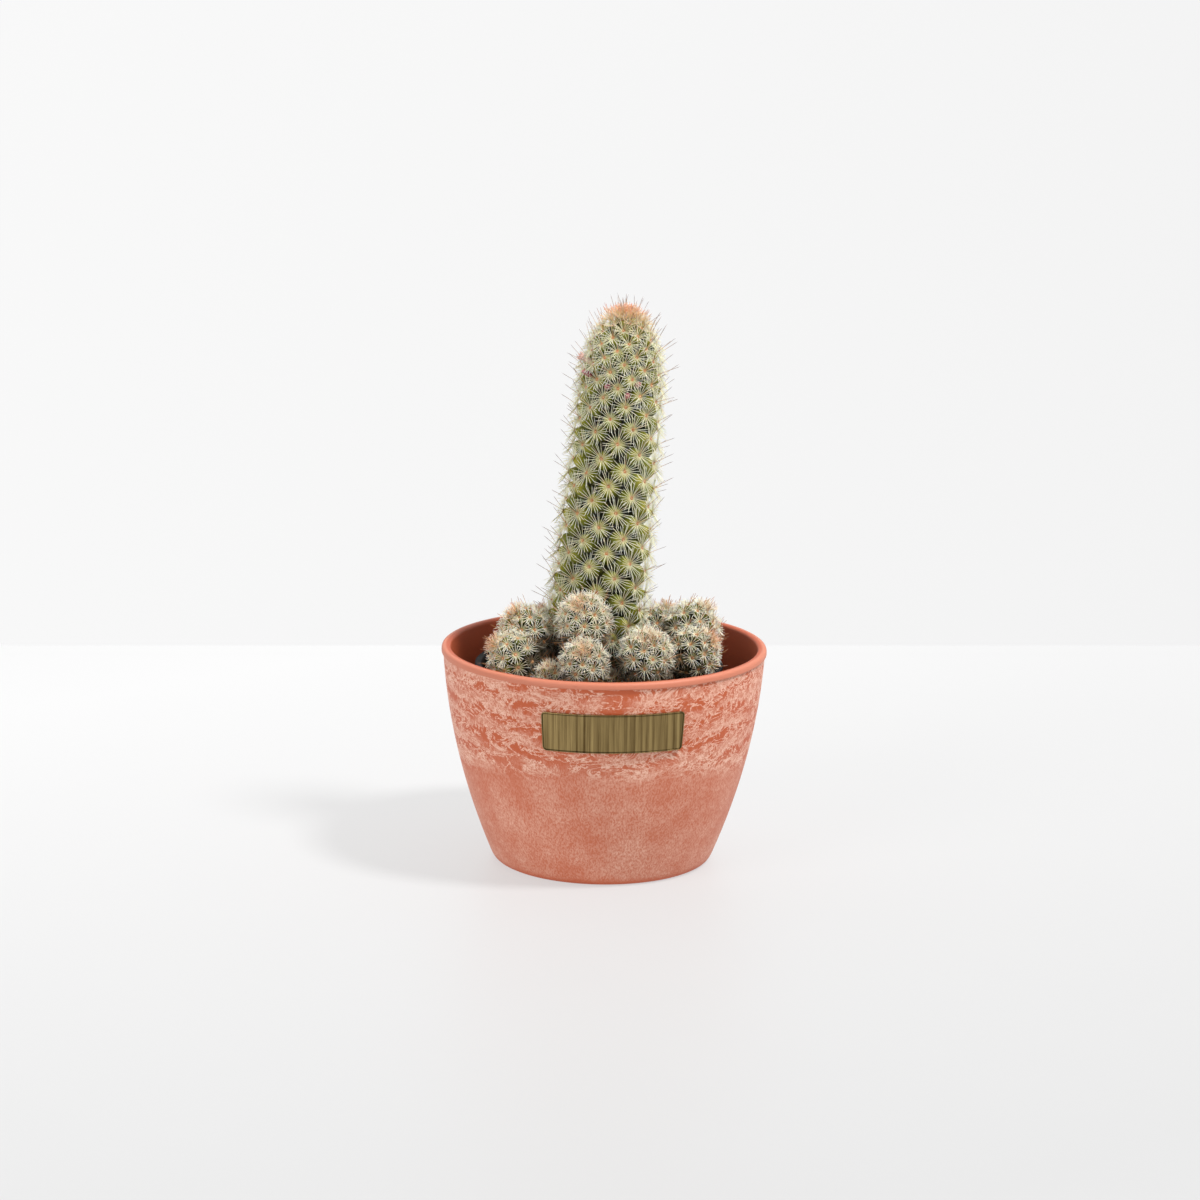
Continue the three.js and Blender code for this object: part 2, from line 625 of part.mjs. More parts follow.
// Draws the small triangles of each areole out into spines: the top one is the central spine
function growSpines(head, heads) {
  const { skin, areoles, points, corners, faces } = head;
  const draw = seeded(head.spec.seed);
  const triangles = [];
  for (const face of faces) {
    const [a, b, c] = face.map((i) => points[i]);
    const owner = a.owner;
    const fan = owner !== undefined && b.owner === owner && c.owner === owner;
    if (!fan) {
      triangles.push(face);
      continue;
    }
    const areole = areoles[owner];
    const rim = [a, b, c].filter((point) => point.out > 0).map((point) => point.turn);
    const wraps = Math.abs(rim[0] - rim[1]) > Math.PI;
    const heading = (rim[0] + rim[1]) / 2 + (wraps ? Math.PI : 0);
    const root = new THREE.Vector3();
    face.forEach((i) => root.addScaledVector(corners[i], 1 / 3));
    const tip = spineTip(head, areole, heading, root, draw, heads);
    if (!tip) {
      triangles.push(face);
      continue;
    }
    const added = corners.push(tip) - 1;
    points.push({});
    face.forEach((from, i) => triangles.push([from, face[(i + 1) % 3], added]));
  }
  head.triangles = triangles;
}

function spineTip(head, areole, heading, root, draw, heads) {
  const { skin } = head;
  const { up, round, square } = skin.frame(areole.s, areole.angle);
  const lean = TUBERCLE_LEAN * (1 - areole.youth);
  const axis = square.clone().applyAxisAngle(round, -lean);
  if (axis.dot(up) < square.dot(up)) axis.copy(square).applyAxisAngle(round, lean);
  const rise = up.clone().addScaledVector(axis, -up.dot(axis)).normalize();
  const central = Math.cos(heading) > Math.cos(CENTRAL_TURN);
  const centralLength = CENTRAL_LENGTH * THREE.MathUtils.lerp(1, YOUNG_CENTRAL, areole.youth);
  const full = central ? centralLength : RADIAL_LENGTH;
  const length = full * THREE.MathUtils.lerp(...SPINE_VARIETY, draw());
  const radialRise = THREE.MathUtils.lerp(RADIAL_RISE, CROWN_RISE, areole.youth);
  for (const way of SPINE_WAYS) {
    const above = Math.min((central ? CENTRAL_RISE : radialRise) + way.rise, STEEPEST_RISE);
    const towards = axis.clone().multiplyScalar(Math.sin(above));
    towards.addScaledVector(rise, Math.cos(above) * Math.cos(heading + way.turn));
    towards.addScaledVector(round, Math.cos(above) * Math.sin(heading + way.turn));
    const line = new THREE.Line3(root, root.clone().addScaledVector(towards, length * way.share));
    if (!isClear(line, head, areole, heads)) continue;
    allSpines.push({ line, areole });
    return line.end;
  }
  return null;
}

function headGeometry({ corners, triangles }) {
  return new THREE.BufferGeometry().setFromPoints(corners).setIndex(triangles.flat());
}

// The hole for a root: the root's own outline, wider and deeper by the gap
function rootHole({ skin, spec }) {
  const wide = spec.neck + GAP / Math.cos(Math.PI / ROOT_SIDES);
  const height = spec.rootDepth + GAP + ROOT_CUTTER_RISE;
  const hole = new THREE.CylinderGeometry(wide, wide, height, ROOT_SIDES).rotateX(Math.PI / 2);
  hole.rotateZ(Math.PI / 2);
  const end = skin.axis.getPointAt(1);
  return hole.translate(end.x, end.y, end.z - GAP + height / 2);
}

function pupSpec(pup, index) {
  const facing = new THREE.Vector3(...pup.facing).normalize();
  const { radius } = pup;
  const dome = radius * PUP_DOME;
  const apex = new THREE.Vector3(...pup.head).addScaledVector(facing, dome);
  const shoulder = { radius, below: dome };
  return {
    name: `pup_${index + 1}`,
    seed: 31 + index,
    apex,
    facing,
    foot: new THREE.Vector2(...pup.foot),
    shoulder,
    belly: shoulder,
    neck: radius * THREE.MathUtils.lerp(...PUP_NECK, pup.stout),
    stout: pup.stout,
    fullness: 0.56,
    rootDepth: PUP_ROOT,
    sides: 6,
    depth: 0.32,
    cell: { crown: 30, shoulder: 58, side: 80, crowded: 7, ageing: 12, grown: 28 },
    spinyTo: Math.min(apex.z - SOIL_TOP - PUP_BARE, dome + radius * PUP_SPINY),
    phase: index * 1.3,
    first: 0.4,
  };
}

const mainSpec = {
  name: "main_stem",
  seed: 7,
  apex: STEM_APEX,
  facing: STEM_FACING.clone().normalize(),
  foot: STEM_FOOT,
  shoulder: STEM_SHOULDER,
  belly: STEM_BELLY,
  neck: STEM_NECK,
  stout: 0.5,
  fullness: 0.62,
  rootDepth: STEM_ROOT,
  sides: 7,
  depth: 0.38,
  cell: { crown: 45, shoulder: 78, side: 101, crowded: 16, ageing: 27, grown: 64 },
  spinyTo: 142,
  phase: STEM_MARK.angle + STEM_MARK.areole * DIVERGENCE,
  first: 0.5,
  buds: STEM_BUDS,
};

const heads = [mainSpec, ...PUPS.map(pupSpec)].map(shapeHead);
for (const head of heads) head.balls = fillingBalls(head.skin);
for (const head of heads) growSpines(head, heads);

const cactus = new THREE.Group();
cactus.add(
  namedMesh("outer_pot", potGeometry(), { color: 0xd17c60, roughness: 0.6 }),
  namedMesh("brass_plate", plateGeometry(), { color: 0x8a7548, roughness: 0.38, metalness: 0.9 }),
  namedMesh("nursery_pot", nurseryGeometry(), { color: 0x17181b, roughness: 0.45 }),
  namedMesh("soil", soilGeometry(heads.map(rootHole)), { color: 0x2b2018, roughness: 0.95 }),
);
for (const head of heads) {
  cactus.add(namedMesh(head.spec.name, headGeometry(head), { color: 0x79905a, roughness: 0.6 }));
}

export default cactus;
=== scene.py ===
"""Potted lady finger cactus: finished pieces, materials and a studio stage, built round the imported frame.

Lengths are in metres, +Z is up, and -Y is the front, where the plate is.
"""

import random
from functools import partial
from math import atan2, cos, hypot, radians, sin, sqrt, tau

import bmesh
import bpy
import numpy as np
from bpy.props import FloatProperty, FloatVectorProperty, IntProperty, PointerProperty
from mathutils import Matrix, Vector, noise
from mathutils.geometry import interpolate_bezier


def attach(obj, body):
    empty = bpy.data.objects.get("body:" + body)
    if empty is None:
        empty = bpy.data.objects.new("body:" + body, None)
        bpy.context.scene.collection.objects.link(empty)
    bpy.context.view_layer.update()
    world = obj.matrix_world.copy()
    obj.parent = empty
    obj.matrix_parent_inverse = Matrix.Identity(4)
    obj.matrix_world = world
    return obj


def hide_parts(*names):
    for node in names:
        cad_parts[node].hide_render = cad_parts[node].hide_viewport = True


bl_info = {
    "name": "Potted Lady Finger Cactus",
    "version": (1, 0, 0),
    "blender": (4, 5, 0),
    "location": "View3D > Sidebar > Cactus",
    "description": "Builds a finger cactus with its offsets, pots, plate and studio stage",
    "category": "Object",
}

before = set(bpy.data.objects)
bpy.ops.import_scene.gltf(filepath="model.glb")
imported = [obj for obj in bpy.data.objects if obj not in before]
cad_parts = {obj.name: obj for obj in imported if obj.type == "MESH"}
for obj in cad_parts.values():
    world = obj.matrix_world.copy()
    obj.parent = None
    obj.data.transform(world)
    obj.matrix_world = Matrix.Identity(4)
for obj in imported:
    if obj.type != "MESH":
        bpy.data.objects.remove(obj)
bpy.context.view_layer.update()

MM = 0.001
BODY = "root"


def linear(code):
    """The linear colour of an sRGB hex code."""
    shares = [int(code[i : i + 2], 16) / 255 for i in (1, 3, 5)]
    return [c / 12.92 if c <= 0.04045 else ((c + 0.055) / 1.055) ** 2.4 for c in shares] + [1.0]


def amount(name, description, default, **kind):
    return FloatProperty(name=name, description=description, default=default, min=0.0, **kind)


def length(name, description, millimetres):
    return amount(name, description, millimetres * MM, subtype="DISTANCE", unit="LENGTH")


def colour(name, description, code):
    return FloatVectorProperty(
        name=name, description=description, default=linear(code), size=4, min=0.0, max=1.0, subtype="COLOR"
    )


# Settings


class CactusPotSettings(bpy.types.PropertyGroup):
    """Sizes and colours of the outer pot and its plate"""

    height: length("Height", "Height of the outer pot", 94)
    lip_radius: length("Lip Radius", "Outer radius of the lip", 70.2)
    lip_width: length("Lip Width", "Thickness of the lip and of the wall below it", 4)
    lip_height: length("Lip Height", "Height of the band that stands proud of the wall", 2.8)
    lip_step: length("Lip Step", "How far the lip stands out from the wall", 0.6)
    base_radius: length("Base Radius", "Radius where the wall's curve meets the ground", 47.3)
    belly_radius: length("Belly Radius", "Radius that the wall's curve is drawn towards at half height", 67.3)
    plate_width: length("Plate Width", "Length of the plate along the wall", 60)
    plate_height: length("Plate Height", "Height of the plate", 17)
    plate_thickness: length("Plate Thickness", "Thickness of the plate", 1)
    plate_middle: length("Plate Middle", "Height of the plate's centre", 72)
    plate_turn: FloatProperty(
        name="Plate Turn",
        description="How far round to the right of the front the plate's centre lies",
        default=radians(3.6),
        subtype="ANGLE",
        unit="ROTATION",
    )
    clay: colour("Clay", "Plain terracotta", "#BD5830")
    # inside: the clay in the pot's well, painted a little darker than the outside as painted shade
    inside: colour("Inside", "Terracotta inside the pot", "#B5532F")
    vein: colour("Vein", "Pale veins in the terracotta", "#F0C6B0")
    brass: colour("Brass", "Antique brass where the brush rubbed it bright", "#AC9564")
    patina: colour("Patina", "Antique brass in the brush's grooves", "#5A4729")


class CactusSoilSettings(bpy.types.PropertyGroup):
    """Sizes and colours of the nursery pot and its soil"""

    top: length("Nursery Pot Top", "Height of the nursery pot's rim", 86)
    lip_radius: length("Nursery Lip Radius", "Outer radius of the nursery pot's rim", 53.7)
    base_radius: length("Nursery Base Radius", "Radius of the nursery pot's foot", 37)
    soil_top: length("Soil Height", "Height of the soil's edge", 73)
    crumbs: IntProperty(name="Crumbs", description="Loose crumbs lying on the soil", default=420, min=0)
    plastic: colour("Plastic", "Nursery pot", "#0F0F10")
    soil: colour("Soil", "Damp potting mix", "#2A1F17")


class CactusPlantSettings(bpy.types.PropertyGroup):
    """Sizes and colours of the plant"""

    radial_length: length("Radial Length", "Length of a radial spine", 7)
    central_length: length("Central Length", "Length of a central spine", 10.2)
    radials: IntProperty(name="Radials", description="Radial spines to an areole", default=26, min=3)
    spine_radius: length("Spine Radius", "Radius of a radial spine at its foot", 0.15)
    # the nearly black skin deep between the tubercles, painted there as shade
    valley_shade: colour("Valley", "Skin deep between the tubercles", "#191702")
    flank: colour("Flank", "Skin on a tubercle's side", "#767A1E")
    tip: colour("Tip", "Skin at a tubercle's tip", "#B4AC42")
    wool: colour("Wool", "Felt in an areole", "#A9652B")
    cream: colour("Cream", "Radial spines", "#F5EDC8")
    amber: colour("Amber", "Foot of a spine", "#CB8F4C")
    umber: colour("Umber", "Tip of a central spine", "#5C5054")
    blush: colour("Blush", "Young spines on a crown", "#EE8B58")
    bud: colour("Bud", "Flower buds", "#861B38")


class CactusStageSettings(bpy.types.PropertyGroup):
    """The studio"""

    lens: amount("Lens", "Focal length on a 36 mm sensor", 97.49, subtype="DISTANCE_CAMERA")
    key: amount("Key Light", "Power of the key light", 38, unit="POWER")
    fill: amount("Fill Light", "Power of the fill light", 19, unit="POWER")
    sky: amount("Surrounding Light", "Strength of the light from all round", 0.4)
    table: colour("Table", "Table top", "#7C7C7C")
    table_glow: amount("Table Glow", "Light from under the table top", 0.55)
    wall: colour("Wall", "Backdrop", "#707070")
    wall_glow: amount("Wall Glow", "Light from behind the backdrop", 0.81)


# The plant's layout, in millimetres

# From each areole to the next, round the stem
DIVERGENCE = radians(137.45)
# Plain stretch above the soil
BARE_NECK = 3.5
# A tubercle's tip points this much above square, and lies this share of the way to the next above it
TUBERCLE_LEAN = radians(14)
TUBERCLE_SHIFT = 0.08
# One areole of the main stem: how far along its skin it lies below the crown, and where round it
STEM_MARK = (79.124, radians(-94))
# How far below the crown each bud stands, its angle round the stem in degrees, its length, and how
# dry it is: the first has flowered and its petals stand open
BUDS = (
    (18.9, -162, 6, 1.0),
    (24.3, -151, 6.4, 0.1),
    (28, -112, 4, 0.0),
    (26, -63, 4.2, 0.0),
    (31, -79, 3.8, 0.1),
    (27, 20, 5.2, 0.5),
    (31, 96, 5, 0.2),
    (29, 140, 5.4, 0.6),
)
# How deep a bud's foot lies, and its radius
BUD_ROOT = 3.6
BUD_RADIUS = 1.35
# The petals of an open bud, how far each leans out for its length, and its half width, half
# thickness and length
PETALS = 9
PETAL_SPREAD = 0.42
PETAL = (0.8, 0.2, 5)
# How far a tubercle stands out for the room that it has, and how much of a star's spines go with
# its room
TUBERCLE_DEPTH = 0.52
THINNING = 0.5
# How deep an areole's felt sits, and how thick it is
FELT_SINK = 0.25
FELT_THICK = 0.55
# The middle of each offset's head, where its crown faces, its foot, its radius and how stout it is
# below its head, from 0 where a neighbour crowds it to 1
PUPS = (
    ((-33.5, -9.2, 102.2), (-0.42, -0.5, 0.76), (-30.6, -7.6), 10.2, 0.5),
    ((-36, -28.8, 94.6), (-0.85, -0.15, 0.51), (-26, -24), 10.6, 0.5),
    ((-22.5, -37.2, 86.8), (-0.22, -0.7, 0.68), (-19.6, -34.4), 7.2, 0.3),
    ((-8.3, -31.6, 112.8), (-0.15, -0.78, 0.61), (-8, -25), 10.4, 0),
    ((-8.6, -47, 98), (0, -0.8, 0.6), (-7, -39.6), 9.1, 0.1),
    ((17, -37.8, 98.4), (0.14, -0.6, 0.79), (16.6, -31.5), 10.5, 0.6),
    ((37, -17.2, 95), (0.72, -0.38, 0.58), (28, -13.4), 10.3, 0.3),
    ((36.4, 6.5, 98.6), (0.56, -0.16, 0.81), (31, 8), 12, 0.9),
    ((3.6, -38, 84.2), (0.1, -0.5, 0.85), (3.6, -38), 5.5, 0.3),
    ((23, 28, 92.6), (0.35, 0.1, 0.93), (19.5, 25), 10.6, 1),
    ((-1, 36, 91), (0.05, 0.45, 0.88), (-2, 32.5), 9.8, 0.8),
    ((-24, 28, 91), (-0.4, 0.3, 0.85), (-20.5, 26.5), 10.4, 0.9),
    ((-37, 9, 88), (-0.5, 0.2, 0.85), (-35, 9), 8.4, 0.8),
)
# How flushed each offset's crown is
PUP_FLUSH = (0.6, 0.8, 0.4, 0.75, 0.7, 0.5, 1.0, 0.2, 0.3, 0.3, 0.5, 0.5, 0.5)

# The pots, the plate and the soil

CLEARANCE = 0.3 * MM
POT_FLOOR = 4 * MM
FOOT_ROUND = 3 * MM
FOOT_RING = 4 * MM
BASE_HOLLOW = 0.6 * MM
# The lip is this many times as wide as the rounding of its edges
LIP_TO_ROUND = 2.6
PLATE_CORNER = 1.6 * MM
PLATE_EDGE = 0.2 * MM
# The plate's rim: its width, the slope down to the field, its height and the dark line at its foot
RIM_WIDTH = 0.35 * MM
RIM_SLOPE = 0.12 * MM
RIM_HEIGHT = 0.22 * MM
RIM_LINE = 0.5 * MM
# The nursery pot stands a little left of the middle
NURSERY_X = -2.2 * MM
NURSERY_WALL = 1.2 * MM
NURSERY_LIP = 3 * MM
NURSERY_DROP = 6 * MM
SOIL_DOME = 1.5 * MM
LUMP_WIDTH = 7 * MM
LUMP_HEIGHT = 0.55 * MM

# The stage: where the table ends, the turn of that edge, and how far back the backdrop stands

TABLE_END = 391 * MM
TABLE_TURN = radians(3.02)
BACKDROP = 2.5


# Making meshes


def mix(a, b, share):
    return a + (b - a) * share


def smoothstep(value, low, high):
    t = np.clip((value - low) / (high - low), 0.0, 1.0)
    return t * t * (3 - 2 * t)


def curved(start, towards, end, steps):
    """Points of a quadratic curve, without its first."""
    a, b, c = (Vector((*p, 0)) for p in (start, towards, end))
    return [(p.x, p.y) for p in interpolate_bezier(a, a.lerp(b, 2 / 3), c.lerp(b, 2 / 3), c, steps + 1)[1:]]


def spun(profile, steps, centre=(0.0, 0.0)):
    """A bmesh turned about an upright axis from points of radius and height."""
    bm = bmesh.new()
    line = [bm.verts.new((r, 0, z)) for r, z in profile]
    edges = [bm.edges.new(pair) for pair in zip(line, line[1:])]
    bmesh.ops.spin(
        bm, geom=line + edges, cent=(0, 0, 0), axis=(0, 0, 1), angle=tau, steps=steps, use_merge=True
    )
    bmesh.ops.remove_doubles(bm, verts=bm.verts, dist=1e-6)
    bmesh.ops.recalc_face_normals(bm, faces=bm.faces)
    bmesh.ops.translate(bm, verts=bm.verts, vec=(*centre, 0))
    return bm


def finish_piece(name, bm, materials, nodes=(), smooth=True):
    """Makes the bmesh an object of the plant, which rides on the only body."""
    mesh = bpy.data.meshes.new(name)
    bm.to_mesh(mesh)
    bm.free()
    mesh.polygons.foreach_set("use_smooth", [smooth] * len(mesh.polygons))
    for material in materials:
        mesh.materials.append(material)
    piece = bpy.data.objects.new(name, mesh)
    bpy.context.scene.collection.objects.link(piece)
    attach(piece, BODY)
    if nodes:
        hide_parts(*nodes)
    return piece


class Stamp:
    """A small mesh that is copied into others many times, turned, sized and tinted each time."""

    def __init__(self, bm, layers):
        for layer in layers:
            if layer not in bm.verts.layers.float:
                bm.verts.layers.float.new(layer)
        self.mesh = bpy.data.meshes.new("stamp")
        bm.to_mesh(self.mesh)
        bm.free()
        self.count = len(self.mesh.vertices)
        rest = np.empty(self.count * 3, np.float32)
        self.mesh.vertices.foreach_get("co", rest)
        self.rest = rest.reshape(-1, 3)

    def put(self, into, place, axes, size, bow=0.0, **values):
        """Copies the stamp to a place, with its own axes given as three directions."""
        shape = self.rest * np.array(size, np.float32)
        shape[:, 0] += bow * self.rest[:, 2] ** 2
        moved = shape @ np.array(axes, np.float32) + np.array(place, np.float32)
        self.mesh.vertices.foreach_set("co", moved.ravel())
        for name, value in values.items():
            self.mesh.attributes[name].data.foreach_set("value", np.full(self.count, value, np.float32))
        into.from_mesh(self.mesh, face_normals=False, vertex_normals=False)


def slice_across(bm, place, normal):
    """Cuts the mesh along a plane, and returns the points of the cut."""
    whole = bm.verts[:] + bm.edges[:] + bm.faces[:]
    cut = bmesh.ops.bisect_plane(bm, geom=whole, plane_co=place, plane_no=normal)["geom_cut"]
    return [v for v in cut if isinstance(v, bmesh.types.BMVert)]


def needle_stamp():
    """A three-sided needle one unit long that narrows slowly, then to a point."""
    bm = bmesh.new()
    bmesh.ops.create_cone(bm, segments=3, radius1=1, radius2=0, depth=1, cap_ends=True)
    bmesh.ops.translate(bm, verts=bm.verts, vec=(0, 0, 0.5))
    for height, radius in ((0.45, 0.85), (0.85, 0.5)):
        ring = slice_across(bm, (0, 0, height), (0, 0, 1))
        swell = radius / (1 - height)
        bmesh.ops.scale(bm, verts=ring, vec=(swell, swell, 1))
    along = bm.verts.layers.float.new("along")
    for vert in bm.verts:
        vert[along] = vert.co.z
    return Stamp(bm, ("along", "youth", "tone", "central"))


def turned_stamp(profile, sides, material=0):
    """A turned shape, with its height in a layer."""
    bm = spun(profile, sides)
    height = bm.verts.layers.float.new("height")
    for vert in bm.verts:
        vert[height] = vert.co.z
    for face in bm.faces:
        face.material_index = material
    return Stamp(bm, ("height", "youth", "tone"))


# Materials

# What makes a Mix node blend colours
IN_COLOUR = {"out": 2, "data_type": "RGBA"}


def add_node(tree, kind, inputs=None, out=0, ramp=None, **settings):
    """Adds a node with its settings, values and links, and returns one of its outputs."""
    node = tree.nodes.new("ShaderNode" + kind)
    for name, value in settings.items():
        setattr(node, name, value)
    for key, value in (inputs or {}).items():
        if isinstance(value, bpy.types.NodeSocket):
            tree.links.new(value, node.inputs[key])
        else:
            node.inputs[key].default_value = value
    if ramp:
        stops = node.color_ramp.elements
        for _ in ramp[2:]:
            stops.new(1.0)
        for stop, (position, shade) in zip(stops, ramp):
            stop.position = position
            stop.color = (shade, shade, shade, 1.0) if isinstance(shade, float) else shade
    return node.outputs[out] if node.outputs else None


def new_material(name, surface, *settings):
    """A material on one Principled shader. surface adds its nodes and returns the shader's values
    and links."""
    material = bpy.data.materials.new(name)
    material.use_nodes = True
    tree = material.node_tree
    tree.nodes.clear()
    shader = add_node(tree, "BsdfPrincipled", surface(partial(add_node, tree), *settings))
    add_node(tree, "OutputMaterial", {"Surface": shader})
    return material


def millimetres(add, scale=(1, 1, 1)):
    """Object coordinates in millimetres."""
    place = add("TexCoord", out="Object")
    return add("Mapping", {"Vector": place, "Scale": [s / MM for s in scale]})


def terracotta_moulded(add, pot):
    """Terracotta-coloured composite, cast in a mould: matt, with pale mineral veins that ran and
    crazed as it set, and a fine upright mottling lower down."""
    place = millimetres(add)
    x = add("SeparateXYZ", {0: place}, out="X")
    y, z = x.node.outputs["Y"], x.node.outputs["Z"]
    # the veins sag in front and behind, and rise towards the sides
    sag = add("Math", {0: x, 1: x}, operation="MULTIPLY")
    level = add("Math", {0: sag, 1: -0.002, 2: z}, operation="MULTIPLY_ADD")
    sagged = add("CombineXYZ", {0: x, 1: y, 2: level})
    wide = add("TexNoise", {"Vector": place, "Scale": 0.025, "Detail": 2.0})
    level = add("Math", {0: wide, 1: 20.0, 2: level}, operation="MULTIPLY_ADD")
    # bands 10 mm apart, each with a crisp ragged lower edge that fades upwards
    tall = millimetres(add, (1, 1, 0.4))
    teeth = add("TexNoise", {"Vector": tall, "Scale": 0.3, "Detail": 5.0, "Roughness": 0.72})
    ragged = add("Math", {0: teeth, 1: 17.0, 2: level}, operation="MULTIPLY_ADD")
    band = add("Math", {0: ragged, 1: 0.1}, operation="MULTIPLY")
    band = add("Math", {0: band}, operation="FRACT")
    fading = [(0.0, 0.0), (0.03, 1.0), (0.1, 0.7), (0.42, 0.35), (0.62, 0.0)]
    band = add("ValToRGB", {0: band}, ramp=fading)
    # thin veins: the lines where a rough noise passes its middle value
    flat = add("VectorMath", {0: sagged, 1: (1, 1, 2.1)}, operation="MULTIPLY")
    crazed = {"Vector": flat, "Scale": 0.08, "Detail": 7.0, "Roughness": 0.64, "Distortion": 0.5}
    red = add("SeparateColor", {0: add("TexNoise", crazed, out="Color")})
    green, blue = red.node.outputs["Green"], red.node.outputs["Blue"]
    web, other, third = (
        add("ValToRGB", {0: part}, ramp=[(low, 0.0), (middle, peak), (high, 0.0)])
        for part, low, middle, high, peak in (
            (red, 0.478, 0.5, 0.522, 1.0),
            (green, 0.43, 0.45, 0.47, 0.9),
            (blue, 0.52, 0.54, 0.56, 0.8),
        )
    )
    web = add("Math", {0: web, 1: other}, operation="MAXIMUM")
    # curls half a millimetre wide, which fill the bands and mottle the lower wall
    tall = millimetres(add, (1, 1, 0.42))
    curls = add("TexNoise", {"Vector": tall, "Scale": 1.7, "Detail": 2.0, "Distortion": 0.6})
    curl = add("MapRange", {0: curls, 1: 0.44, 2: 0.6, 3: 0.3})
    # pale veins grow denser towards the left and right sides: partly the veins' own spread, partly painted
    # sheen where the wall turns away from the front
    patch = add("TexNoise", {"Vector": sagged, "Scale": 0.045, "Detail": 3.0})
    patch = add("Math", {0: sag, 1: 4.2e-5, 2: patch}, operation="MULTIPLY_ADD")
    dense = add("MapRange", {0: patch, 1: 0.42, 2: 0.54, 3: 0.15})
    third = add("Math", {0: third, 1: dense}, operation="MULTIPLY")
    streak = band
    for part, step in ((dense, "MULTIPLY"), (curl, "MULTIPLY"), (web, "MAXIMUM"), (third, "MAXIMUM")):
        streak = add("Math", {0: streak, 1: part}, operation=step)
    # the veins reach further down towards the sides
    edge = add("Math", {0: sag, 1: 0.0045, 2: level}, operation="MULTIPLY_ADD")
    upper = add("MapRange", {0: edge, 1: 60.0, 2: 68.0})
    streak = add("Math", {0: streak, 1: upper}, operation="MULTIPLY")
    cloud = add("TexNoise", {"Vector": place, "Scale": 0.05, "Detail": 5.0, "Roughness": 0.62})
    cloud = add("MapRange", {0: cloud, 1: 0.36, 2: 0.64, 3: 0.22, 4: 0.6})
    lower = add("MapRange", {0: edge, 1: 74.0, 2: 58.0})
    lower = add("Math", {0: lower, 1: cloud}, operation="MULTIPLY")
    mottle = add("MapRange", {0: curls, 1: 0.38, 2: 0.62, 3: 0.3})
    pale = add("Math", {0: lower, 1: mottle, 2: streak}, operation="MULTIPLY_ADD", use_clamp=True)
    lip = add("MapRange", {0: z, 1: 91.0, 2: 91.4})
    pale = add("Mix", {0: lip, 2: pale, 3: 0.2})
    # the pale fades out over the lowest few millimetres, leaving the foot plain, darker clay
    foot = add("MapRange", {0: z, 1: 1.0, 2: 3.5})
    pale = add("Math", {0: pale, 1: foot}, operation="MULTIPLY")
    shade = add("Mix", {0: pale, 6: pot.clay, 7: pot.vein}, **IN_COLOUR)
    # the clay inside the pot's well is plain, and painted darker as painted shade
    outside = add("Attribute", attribute_name="outside", out="Fac")
    shade = add("Mix", {0: outside, 6: pot.inside, 7: shade}, **IN_COLOUR)
    grit = add("TexNoise", {"Vector": place, "Scale": 1.6, "Detail": 3.0})
    rough = add("MapRange", {0: grit, 3: 0.46, 4: 0.64})
    bump = add("Bump", {"Height": grit, "Strength": 0.12, "Distance": 0.2 * MM})
    return {"Base Color": shade, "Roughness": rough, "Normal": bump, "Specular IOR Level": 0.45}


def antique_brass_brushed(add, pot):
    """Antique brass sheet, brushed upright and lacquered: upright lines of dull gold and brown,
    drawn 1 mm apart where the real brush left five, and dark patina along the rim's foot."""
    lines = millimetres(add, (1, 0, 0.02))
    brush = add("TexNoise", {"Vector": lines, "Scale": 0.6, "Detail": 5.0, "Roughness": 0.7})
    share = add("MapRange", {0: brush, 1: 0.34, 2: 0.66})
    shade = add("Mix", {0: share, 6: pot.patina, 7: pot.brass}, **IN_COLOUR)
    rim = add("Attribute", attribute_name="rim", out="Fac")
    shade = add("Mix", {0: rim, 6: shade, 7: linear("#20190E")}, **IN_COLOUR)
    rough = add("MapRange", {0: brush, 3: 0.36, 4: 0.5})
    bump = add("Bump", {"Height": brush, "Strength": 0.3, "Distance": 0.05 * MM})
    return {"Base Color": shade, "Roughness": rough, "Normal": bump, "Metallic": 1.0}


def polypropylene_formed(add, soil):
    """Polypropylene, vacuum-formed thin: black, faintly glossy, dusty with dried watering marks."""
    dust = add("TexNoise", {"Vector": millimetres(add), "Scale": 0.25, "Detail": 5.0})
    share = add("MapRange", {0: dust, 1: 0.5, 2: 0.8, 4: 0.35})
    shade = add("Mix", {0: share, 6: soil.plastic, 7: linear("#2C2926")}, **IN_COLOUR)
    rough = add("MapRange", {0: dust, 3: 0.4, 4: 0.65})
    return {"Base Color": shade, "Roughness": rough, "Specular IOR Level": 0.1}


def potting_mix(add, soil):
    """Damp peat with bark and grit: near black, with brown bark and pale flecks."""
    place = millimetres(add)
    clods = add("TexNoise", {"Vector": place, "Scale": 0.6, "Detail": 6.0, "Roughness": 0.7})
    share = add("MapRange", {0: clods, 1: 0.4, 2: 0.7})
    shade = add("Mix", {0: share, 6: linear("#120D0A"), 7: soil.soil}, **IN_COLOUR)
    cells = add("TexVoronoi", {"Vector": place, "Scale": 0.45})
    fleck = add("MapRange", {0: cells, 1: 0.14, 2: 0.06})
    shade = add("Mix", {0: fleck, 6: shade, 7: linear("#6B5644")}, **IN_COLOUR)
    bump = add("Bump", {"Height": clods, "Strength": 0.8, "Distance": 0.6 * MM})
    return {"Base Color": shade, "Roughness": 0.9, "Normal": bump}


